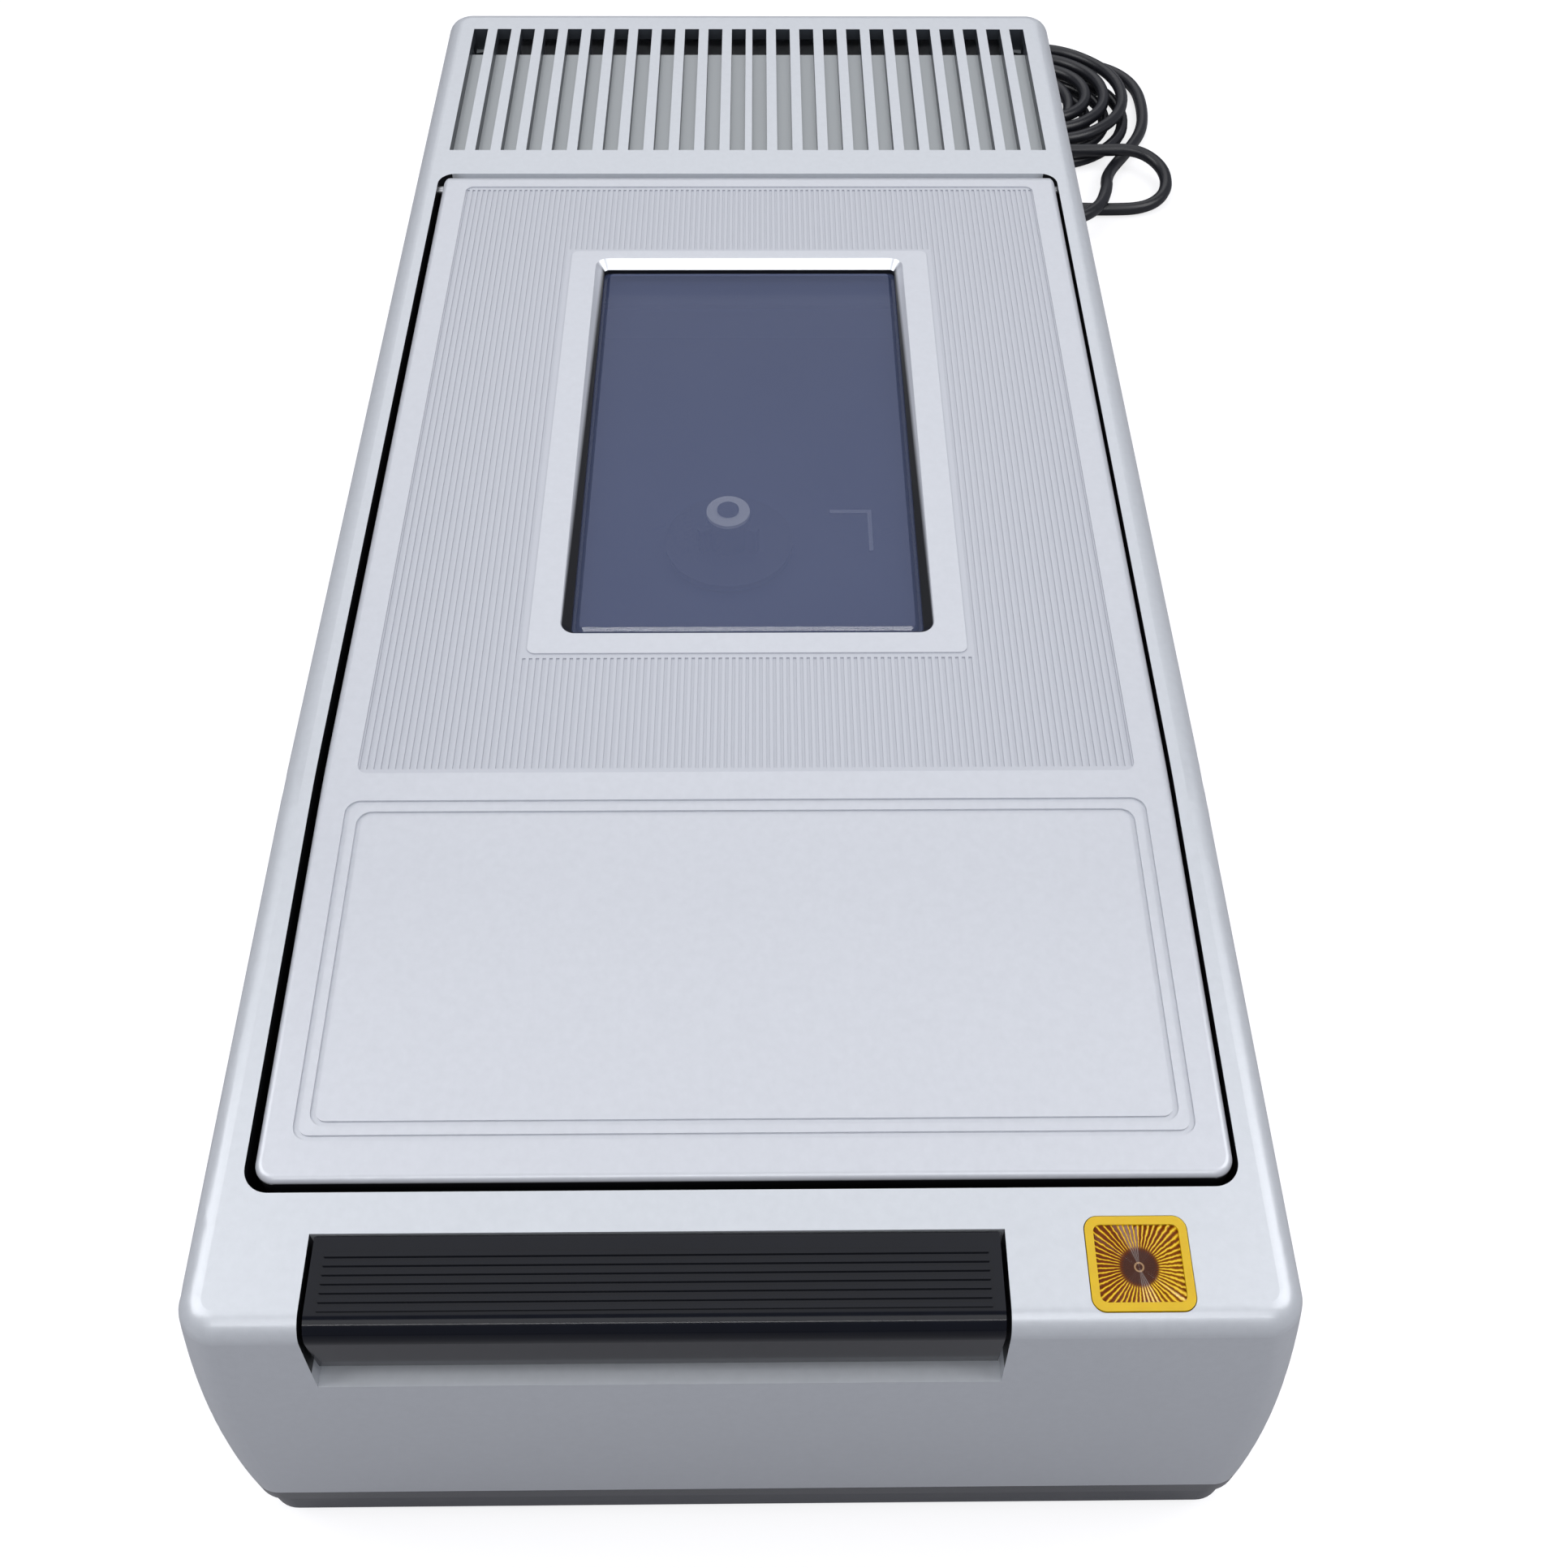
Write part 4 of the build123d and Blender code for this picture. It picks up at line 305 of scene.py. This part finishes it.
def lidGapShade(tree, place):
    # near-black painted shade on the underside, the skirt and the window's sides, for the shade in
    # the gaps round the lid; the window's rear slope is left out for its painted highlight
    within = boxMask(tree, place, "withinRim")
    border = addNode(tree, "ShaderNodeMath", {0: 1.0}, {1: within}, operation="SUBTRACT")
    steep = facing(tree, "lidEdge")
    rim = addNode(tree, "ShaderNodeMath", None, {0: steep, 1: border}, operation="MULTIPLY")
    window = boxMask(tree, place, "window")
    split = addNode(tree, "ShaderNodeSeparateXYZ", None, {0: place})
    offCentre = addNode(
        tree, "ShaderNodeMath", {1: windowSideShade["middle"]}, {0: split.outputs["X"]},
        operation="SUBTRACT",
    )
    across = addNode(tree, "ShaderNodeMath", None, {0: offCentre}, operation="ABSOLUTE")
    widening = addNode(
        tree, "ShaderNodeMath", {1: windowSideShade["taper"]}, {0: split.outputs["Y"], 2: across},
        operation="MULTIPLY_ADD",
    )
    sideShade = addNode(
        tree, "ShaderNodeMapRange",
        {
            "From Min": windowSideShade["shadeEdge"], "From Max": windowSideShade["painted"],
            "To Min": 1, "To Max": 0,
        },
        {"Value": widening},
    )
    gap = addNode(tree, "ShaderNodeMath", None, {0: window, 1: sideShade}, operation="MULTIPLY")
    offSlope = addNode(
        tree, "ShaderNodeMath", {0: 1.0}, {1: windowSlopeHighlight(tree, place)}, operation="SUBTRACT"
    )
    sides = addNode(tree, "ShaderNodeMath", None, {0: gap, 1: offSlope}, operation="MULTIPLY")
    under = facing(tree, "lidUnder")
    lower = addNode(tree, "ShaderNodeMath", None, {0: under, 1: rim}, operation="MAXIMUM")
    return addNode(tree, "ShaderNodeMath", None, {0: lower, 1: sides}, operation="MAXIMUM")


def ventFloorShade(tree, place):
    # painted shade at the bottom of the vent grooves
    return boxMask(tree, place, "ventFloors")


def ventWallShade(tree, place):
    # and darker painted shade on their walls
    grooves = boxMask(tree, place, "vents")
    return addNode(
        tree, "ShaderNodeMath", None, {0: grooves, 1: facing(tree, "ventWallShade")},
        operation="MULTIPLY",
    )


def footBand(tree, place):
    # the case's lowest edge, dark like the base
    return boxMask(tree, place, "foot")


def hubCap(tree, place):
    # all but the pale ring round the button of the driven spindle
    ring = boxMask(tree, place, "hubRing")
    return addNode(tree, "ShaderNodeMath", {0: 1.0}, {1: ring}, operation="SUBTRACT")


def deckRibHighlight(tree, place):
    # painted highlight on the raised corner mark
    return boxMask(tree, place, "deckRibHighlight")


masks = {
    "housing": housingGapShade, "lid": lidGapShade, "slope": windowSlopeHighlight, "field": lidFieldShade,
    "foot": footBand, "ventFloorShade": ventFloorShade, "ventWallShade": ventWallShade, "hub": hubCap,
    "deckHighlight": deckRibHighlight,
}


def makeFinish(name, look):
    # colour that drifts between two close tones, a fine grain in the bump, and uneven gloss;
    # mottle, grain, bands and depth are in millimetres
    material = bpy.data.materials.new(name)
    material.use_nodes = True
    tree = material.node_tree
    shader = tree.nodes["Principled BSDF"]
    place = addNode(tree, "ShaderNodeTexCoord").outputs["Object"]
    mottle = addNode(
        tree, "ShaderNodeTexNoise",
        {"Scale": 1000 / look["mottle"], "Detail": 3, "Roughness": 0.55}, {"Vector": place},
    )
    tone = addNode(
        tree, "ShaderNodeMix", {6: toLinear(look["color"]), 7: toLinear(look["shade"])},
        {0: mottle.outputs["Fac"]}, data_type="RGBA",
    )
    color = tone.outputs[2]
    grain = addNode(
        tree, "ShaderNodeTexNoise", {"Scale": 1000 / look["grain"], "Detail": 2, "Roughness": 0.6},
        {"Vector": place},
    )
    height = grain.outputs["Fac"]
    if "bands" in look:
        # a band of the wave texture is pi / 10 wide at scale 1
        pitch, axis = look["bands"]
        wave = addNode(
            tree, "ShaderNodeTexWave",
            {"Scale": 1000 * pi / 10 / pitch, "Distortion": look.get("waver", 0)},
            {"Vector": place}, bands_direction=axis,
        )
        height = wave.outputs["Fac"]
        if "bandColor" in look:
            stripe = addNode(
                tree, "ShaderNodeMix", {7: toLinear(look["bandColor"])},
                {0: wave.outputs["Fac"], 6: color}, data_type="RGBA",
            )
            color = stripe.outputs[2]
    gloss = addNode(
        tree, "ShaderNodeMapRange",
        {"To Min": look["gloss"][0], "To Max": look["gloss"][1]}, {"Value": mottle.outputs["Fac"]},
    ).outputs["Result"]
    for mask, otherColor, otherGloss in look.get("areas", []):
        where = masks[mask](tree, place)
        color = addNode(
            tree, "ShaderNodeMix", {7: toLinear(otherColor)}, {0: where, 6: color},
            data_type="RGBA",
        ).outputs[2]
        gloss = addNode(tree, "ShaderNodeMix", {3: otherGloss}, {0: where, 2: gloss}).outputs[0]
    tree.links.new(color, shader.inputs["Base Color"])
    tree.links.new(gloss, shader.inputs["Roughness"])
    bump = addNode(
        tree, "ShaderNodeBump",
        {"Strength": look["bump"], "Distance": look.get("depth", 0.02) / 1000},
        {"Height": height},
    )
    tree.links.new(bump.outputs["Normal"], shader.inputs["Normal"])
    for socket, value in look.get("sockets", {}).items():
        shader.inputs[socket].default_value = value
    return material


finishes = {
    # moulded ABS under silver paint: fine flake, satin; painted shade where the gaps and vent
    # grooves fall dark
    "silverPaintedAbs": {
        "color": "#BFC3C9", "shade": "#C8CCD2", "mottle": 1.2, "grain": 0.35, "bump": 0.25,
        "gloss": (0.32, 0.4),
        "sockets": {"Metallic": 0.25, "IOR": 1.5, "Coat Weight": 0.3, "Coat Roughness": 0.12},
        # painted shade in the vent grooves, the lid's opening and the bar's recess ends; the
        # lowest edge dark like the base
        "areas": [
            ("ventFloorShade", "#B4B9BC", 0.5), ("ventWallShade", "#3C4148", 0.5),
            ("housing", "#0D0E12", 0.5), ("foot", "#2B2E35", 0.25),
        ],
    },
    # the lid is sprayed apart from the case, a shade warmer
    "silverLidAbs": {
        "color": "#BFC2C9", "shade": "#C8CBD2", "mottle": 1.2, "grain": 0.35, "bump": 0.25,
        "gloss": (0.32, 0.4),
        "sockets": {"Metallic": 0.25, "IOR": 1.5, "Coat Weight": 0.3, "Coat Roughness": 0.12},
        # painted shade on the ribbed field, near-black painted shade in the lid's gaps and at the
        # window's sides, painted highlight on the window's rear slope
        "areas": [("field", "#B9BCC4", 0.4), ("lid", "#0D0E12", 0.5), ("slope", "#E4E7EC", 0.2)],
    },
    # unpainted dark grey ABS, polished mould
    "darkAbs": {
        "color": "#2B2E35", "shade": "#34373F", "mottle": 4.0, "grain": 0.8, "bump": 0.12,
        "gloss": (0.18, 0.28), "sockets": {"IOR": 1.52},
    },
    # gloss black polystyrene of the eject bar
    "glossBlackStyrene": {
        "color": "#080A12", "shade": "#0C0F18", "mottle": 3.0, "grain": 1.2, "bump": 0.06,
        "gloss": (0.08, 0.15), "sockets": {"IOR": 1.5, "Specular IOR Level": 0.25},
    },
    "mattBlackAbs": {
        "color": "#16171A", "shade": "#1E1F23", "mottle": 2.0, "grain": 0.5, "bump": 0.3,
        "gloss": (0.45, 0.6),
    },
    # blue grey polystyrene of the deck, with a painted highlight on the raised corner mark
    "deckStyrene": {
        "color": "#363B50", "shade": "#3E4459", "mottle": 5.0, "grain": 0.6, "bump": 0.05,
        "gloss": (0.45, 0.6), "areas": [("deckHighlight", "#C4C9D8", 0.5)],
    },
    "nylon": {
        "color": "#CFD2DC", "shade": "#DDE0E8", "mottle": 2.0, "grain": 0.5, "bump": 0.15,
        "gloss": (0.35, 0.48), "sockets": {"Subsurface Weight": 0.1, "Subsurface Scale": 0.001},
    },
    # the rear spindle's cap: dark moulding with a pale ring round its button
    "hubNylon": {
        "color": "#F0F2F6", "shade": "#F6F8FA", "mottle": 2.0, "grain": 0.5, "bump": 0.05,
        "gloss": (0.35, 0.48), "areas": [("hub", "#2C3040", 0.5)],
    },
    # smoked clear acrylic, polished
    "smokedAcrylic": {
        "color": "#545F84", "shade": "#5B668A", "mottle": 20.0, "grain": 3.0, "bump": 0.0005,
        "gloss": (0.03, 0.06), "sockets": {"Alpha": 0.38, "IOR": 1.49},
    },
    # deep yellow transparent acrylic, lit through by daylight
    "amberAcrylic": {
        "color": "#C8A200", "shade": "#D6B200", "mottle": 3.0, "grain": 1.5, "bump": 0.05,
        "gloss": (0.06, 0.1),
        "sockets": {"IOR": 1.49, "Subsurface Weight": 0.15, "Subsurface Scale": 0.001},
    },
    "clearGlass": {
        "color": "#E8ECEC", "shade": "#F0F2F2", "mottle": 8.0, "grain": 3.0, "bump": 0.02,
        "gloss": (0.02, 0.05), "sockets": {"Alpha": 0.35, "IOR": 1.5},
    },
    "rubber": {
        "color": "#17171A", "shade": "#202024", "mottle": 1.5, "grain": 0.3, "bump": 0.4,
        "gloss": (0.6, 0.75),
    },
    # bright rolled steel, brushed along X
    "brightSteel": {
        "color": "#B4B6BA", "shade": "#C2C4C8", "mottle": 2.0, "grain": 0.2, "bump": 0.15,
        "gloss": (0.25, 0.38), "sockets": {"Metallic": 1.0}, "bands": (0.25, "Y"), "waver": 3,
    },
    "zincSteel": {
        "color": "#BDBDB6", "shade": "#CDCBC0", "mottle": 1.5, "grain": 0.3, "bump": 0.1,
        "gloss": (0.2, 0.35), "sockets": {"Metallic": 1.0},
    },
    # stacked laminations under black lacquer
    "laminations": {
        "color": "#2A2B2E", "shade": "#35363A", "mottle": 2.0, "grain": 0.5, "bump": 0.6,
        "gloss": (0.35, 0.5), "sockets": {"Metallic": 0.5}, "bands": (0.5, "Y"), "depth": 0.1,
    },
    # enamelled copper wire, layer wound
    "copperWinding": {
        "color": "#8E4A22", "shade": "#A35A2C", "mottle": 2.0, "grain": 0.5, "bump": 0.7,
        "gloss": (0.25, 0.35), "sockets": {"Metallic": 0.8}, "bands": (0.4, "Z"), "depth": 0.1,
        "bandColor": "#5E2E14",
    },
    "phenolicBoard": {
        "color": "#8A6A34", "shade": "#9A783E", "mottle": 3.0, "grain": 0.5, "bump": 0.2,
        "gloss": (0.35, 0.45),
    },
    "brass": {
        "color": "#C8A24E", "shade": "#D6B35E", "mottle": 2.0, "grain": 0.3, "bump": 0.1,
        "gloss": (0.2, 0.3), "sockets": {"Metallic": 1.0},
    },
    # soft PVC of cord, relief and plug: smooth with a slight bloom
    "softPvc": {
        "color": "#121318", "shade": "#1A1B21", "mottle": 3.0, "grain": 0.8, "bump": 0.15,
        "gloss": (0.28, 0.4), "sockets": {"IOR": 1.53},
    },
}
materials = {name: makeFinish(name, look) for name, look in finishes.items()}

wears = {
    "silverPaintedAbs": ["upper_housing"],
    "silverLidAbs": ["lid_panel"],
    "darkAbs": ["lower_housing"],
    "glossBlackStyrene": ["eject_bar"],
    "mattBlackAbs": [
        "cassette_holder", "latch_lever", "leaf_switch", "capacitor", "rectifier_diodes",
        "cord_tie",
    ],
    "deckStyrene": ["deck_tray"],
    "hubNylon": ["drive_spindle"],
    "nylon": ["drive_gear", "idle_spindle", "reduction_pulley", "start_lever"],
    "smokedAcrylic": ["window_pane"],
    "amberAcrylic": ["amber_lens"],
    "clearGlass": ["indicator_lamp", "fuse"],
    "rubber": ["rubber_feet", "drive_belt"],
    "brightSteel": [
        "hinge_pins", "hold_down_springs", "latch_pin", "latch_spring", "drive_shaft",
        "idle_shaft", "reduction_axle", "motor", "motor_shaft", "motor_bracket",
        "transformer_clamp",
    ],
    "zincSteel": ["housing_screws", "deck_screws", "bracket_screws", "holder_screws"],
    "laminations": ["transformer_core"],
    "copperWinding": ["transformer_coil"],
    "phenolicBoard": ["circuit_board"],
    "brass": ["motor_pulley", "plug_blades"],
    "softPvc": ["strain_relief", "wall_plug", "cord_lead", "cord_hank", "cord_tail"],
}
for finish, names in wears.items():
    for name in names:
        for materialSlot in nodes[name].material_slots:
            materialSlot.material = materials[finish]
mainsCord.data.materials.append(materials["softPvc"])
print("materials on")

# flutes run out from over the lamp to the rim of the amber lens
lens = {
    "middle": (0.0464, -0.1363),
    "height": 0.06608,  # of the dish at the middle
    "slope": 3.8,  # degrees, as the case's top
    "halfWidth": 0.00504,
    "halfDepth": 0.00454,
    "center": (0.04645, -0.13595),
    "disc": 0.009,  # radius of the fluted disc before it is cut square
    "flutes": 52,
    "rise": 0.00022,
    "lamp": 0.0020,  # radius of the dark middle
    "centreGlint": 0.0005,  # radius of a pale painted glint, a thin ring at the middle
    "centreGlintLine": 0.0001,
    "flawScale": 1600,
    "flaw": 1.6,  # how far flaws shift a flute, in radians of its wave
    "groove": (-0.3, 0.25),  # of the flutes' wave
    "crest": (0.5, 0.9),
    "spike": 0.00025,  # how far the dark middle runs out along the flutes
    "fade": 0.0003,
    # painted shade between the flutes and painted highlight along their crests; a pale painted
    # glint at the middle
    "grooveShadeColor": "#6A2E04",
    "crestHighlightColor": "#F4D23C",
    "lampColor": "#4A2C22",
    "centreGlintColor": "#A08060",
}


def makeFluteFinish():
    # fluted back of transparent acrylic: painted shade between the flutes, painted highlights
    # along their crests and a pale painted glint at the middle
    look = {
        "color": "#A86A04", "shade": "#C08A0A", "mottle": 1.0, "grain": 0.8, "bump": 0.05,
        "gloss": (0.06, 0.12), "sockets": {"IOR": 1.49},
    }
    material = makeFinish("flutedAmberAcrylic", look)
    tree = material.node_tree
    shader = tree.nodes["Principled BSDF"]
    base = shader.inputs["Base Color"].links[0].from_socket
    place = addNode(tree, "ShaderNodeTexCoord").outputs["Object"]
    centred = addNode(
        tree, "ShaderNodeMapping", {"Location": (-lens["middle"][0], -lens["middle"][1], 0)},
        {"Vector": place},
    ).outputs["Vector"]
    flat = addNode(
        tree, "ShaderNodeVectorMath", {1: (1, 1, 0)}, {0: centred}, operation="MULTIPLY"
    )
    away = addNode(tree, "ShaderNodeVectorMath", None, {0: flat.outputs[0]}, operation="LENGTH")
    turn = addNode(
        tree, "ShaderNodeTexGradient", None, {"Vector": centred}, gradient_type="RADIAL"
    )
    wave = addNode(
        tree, "ShaderNodeMath", {1: lens["flutes"] * 2 * pi}, {0: turn.outputs["Fac"]},
        operation="MULTIPLY",
    )
    flaw = addNode(
        tree, "ShaderNodeTexNoise", {"Scale": lens["flawScale"], "Detail": 2}, {"Vector": centred}
    )
    shift = addNode(
        tree, "ShaderNodeMapRange", {"To Min": -lens["flaw"], "To Max": lens["flaw"]},
        {"Value": flaw.outputs["Fac"]},
    )
    broken = addNode(
        tree, "ShaderNodeMath", None, {0: wave.outputs[0], 1: shift.outputs["Result"]}
    )
    ripple = addNode(tree, "ShaderNodeMath", None, {0: broken.outputs[0]}, operation="SINE")
    groove = addNode(
        tree, "ShaderNodeMapRange",
        {
            "From Min": lens["groove"][0], "From Max": lens["groove"][1],
            "To Min": 1.0, "To Max": 0.0,
        },
        {"Value": ripple.outputs[0]},
    )
    crest = addNode(
        tree, "ShaderNodeMapRange", {"From Min": lens["crest"][0], "From Max": lens["crest"][1]},
        {"Value": ripple.outputs[0]},
    )
    grooved = addNode(
        tree, "ShaderNodeMix", {7: toLinear(lens["grooveShadeColor"])},
        {0: groove.outputs["Result"], 6: base}, data_type="RGBA",
    )
    crested = addNode(
        tree, "ShaderNodeMix", {7: toLinear(lens["crestHighlightColor"])},
        {0: crest.outputs["Result"], 6: grooved.outputs[2]}, data_type="RGBA",
    )
    # the flutes start at uneven distances from the lamp
    spike = addNode(
        tree, "ShaderNodeMath", {1: -lens["spike"]}, {0: ripple.outputs[0]}, operation="MULTIPLY"
    )
    reach = addNode(tree, "ShaderNodeMath", None, {0: away.outputs["Value"], 1: spike.outputs[0]})
    burst = addNode(
        tree, "ShaderNodeMapRange",
        {
            "From Min": lens["lamp"], "From Max": lens["lamp"] + lens["fade"],
            "To Min": 1.0, "To Max": 0.0,
        },
        {"Value": reach.outputs[0]},
    )
    middle = addNode(
        tree, "ShaderNodeMix", {7: toLinear(lens["lampColor"])},
        {0: burst.outputs["Result"], 6: crested.outputs[2]}, data_type="RGBA",
    )
    centreGlint = addNode(
        tree, "ShaderNodeMath", {1: lens["centreGlint"], 2: lens["centreGlintLine"]}, {0: away.outputs["Value"]},
        operation="COMPARE",
    )
    glinted = addNode(
        tree, "ShaderNodeMix", {7: toLinear(lens["centreGlintColor"])},
        {0: centreGlint.outputs[0], 6: middle.outputs[2]}, data_type="RGBA",
    )
    tree.links.new(glinted.outputs[2], shader.inputs["Base Color"])
    return material


def addLensFlutes():
    bpy.ops.object.select_all(action="DESELECT")
    x, y = lens["middle"]
    bpy.ops.mesh.primitive_circle_add(
        vertices=2 * lens["flutes"], radius=lens["disc"], fill_type="TRIFAN",
        location=(x, y, lens["height"]), rotation=(radians(lens["slope"]), 0, 0),
    )
    piece = bpy.context.object
    piece.name = "lensFlutes"
    bpy.ops.object.transform_apply(location=True, rotation=True, scale=True)
    bpy.ops.object.mode_set(mode="EDIT")
    bpy.ops.mesh.select_all(action="DESELECT")
    mesh = bmesh.from_edit_mesh(piece.data)
    mesh.verts.ensure_lookup_table()
    rim = sorted(
        (v for v in mesh.verts if (v.co.xy - Vector((x, y))).length > lens["disc"] / 2),
        key=lambda v: atan2(v.co.y - y, v.co.x - x),
    )
    for i, vert in enumerate(rim):
        vert.select = i % 2 == 0
    bmesh.update_edit_mesh(piece.data)
    bpy.ops.transform.translate(value=(0, 0, lens["rise"] * lens["disc"] / lens["halfWidth"]))
    cx, cy = lens["center"]
    for place, normal in (
        ((cx + lens["halfWidth"], cy, 0), (1, 0, 0)),
        ((cx - lens["halfWidth"], cy, 0), (-1, 0, 0)),
        ((cx, cy + lens["halfDepth"], 0), (0, 1, 0)),
        ((cx, cy - lens["halfDepth"], 0), (0, -1, 0)),
    ):
        bpy.ops.mesh.select_all(action="SELECT")
        bpy.ops.mesh.bisect(plane_co=place, plane_no=normal, clear_outer=True)
    bpy.ops.object.mode_set(mode="OBJECT")
    piece.data.materials.append(makeFluteFinish())
    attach(piece, "case")
    return piece


addLensFlutes()
print("lens fluted")

studio = {
    "floorColor": "#9C9CA0",
    "floorRoughness": 0.9,
    "floorSize": 8,
    "floorLift": 0.74,  # extra white that only the camera sees
    "skyColor": "#F2F4FF",
    "skyStrength": 0.3,
    "white": 1.0,  # what the camera sees beyond the floor
    # soft panels: place, aim, width, depth and power
    "panels": {
        "rearPanel": ((0.0, 0.85, 0.88), (0, 0, 0.07), 0.9, 0.9, 2.5),
        "topPanel": ((0.0, 0.1, 1.35), (0, -0.05, 0.07), 1.1, 0.75, 2.5),
        "leftPanel": ((-0.55, -0.08, 0.62), (0, -0.05, 0.07), 0.5, 0.5, 2.5),
        "rightPanel": ((0.55, -0.08, 0.62), (0, -0.05, 0.07), 0.5, 0.5, 2.5),
        "frontStrip": ((0.0, -0.71, 1.0), (0, 0, 0.07), 0.9, 0.35, 1.9),
        "frontTube": ((0.0, -0.926, 0.88), (0, -0.04, 0.07), 1.2, 0.03, 1.9),
    },
}


def addStudio():
    bpy.ops.object.select_all(action="DESELECT")
    bpy.ops.mesh.primitive_plane_add(size=studio["floorSize"], location=(0, 0, 0))
    floor = bpy.context.object
    floor.name = "studioFloor"
    paint = bpy.data.materials.new("matteBackdropPaper")
    paint.use_nodes = True
    tree = paint.node_tree
    shader = tree.nodes["Principled BSDF"]
    shader.inputs["Base Color"].default_value = toLinear(studio["floorColor"])
    shader.inputs["Roughness"].default_value = studio["floorRoughness"]
    rays = addNode(tree, "ShaderNodeLightPath")
    seen = addNode(
        tree, "ShaderNodeMath", {1: studio["floorLift"]}, {0: rays.outputs["Is Camera Ray"]},
        operation="MULTIPLY",
    )
    shader.inputs["Emission Color"].default_value = (1, 1, 1, 1)
    tree.links.new(seen.outputs[0], shader.inputs["Emission Strength"])
    floor.data.materials.append(paint)

    world = bpy.data.worlds.new("softSky")
    bpy.context.scene.world = world
    world.use_nodes = True
    tree = world.node_tree
    sky = tree.nodes["Background"]
    rays = addNode(tree, "ShaderNodeLightPath")
    strength = addNode(
        tree, "ShaderNodeMapRange", {"To Min": studio["skyStrength"], "To Max": studio["white"]},
        {"Value": rays.outputs["Is Camera Ray"]},
    )
    sky.inputs["Color"].default_value = toLinear(studio["skyColor"])
    tree.links.new(strength.outputs["Result"], sky.inputs["Strength"])

    for name, (place, target, wide, deep, power) in studio["panels"].items():
        data = bpy.data.lights.new(name, "AREA")
        data.shape = "RECTANGLE"
        data.size = wide
        data.size_y = deep
        data.energy = power
        lamp = bpy.data.objects.new(name, data)
        bpy.context.collection.objects.link(lamp)
        lamp.location = place
        aim = Vector(target) - Vector(place)
        lamp.rotation_euler = aim.to_track_quat("-Z", "Y").to_euler()
    bpy.context.scene.view_settings.view_transform = "Standard"


addStudio()
print("studio set")

bpy.context.view_layer.update()
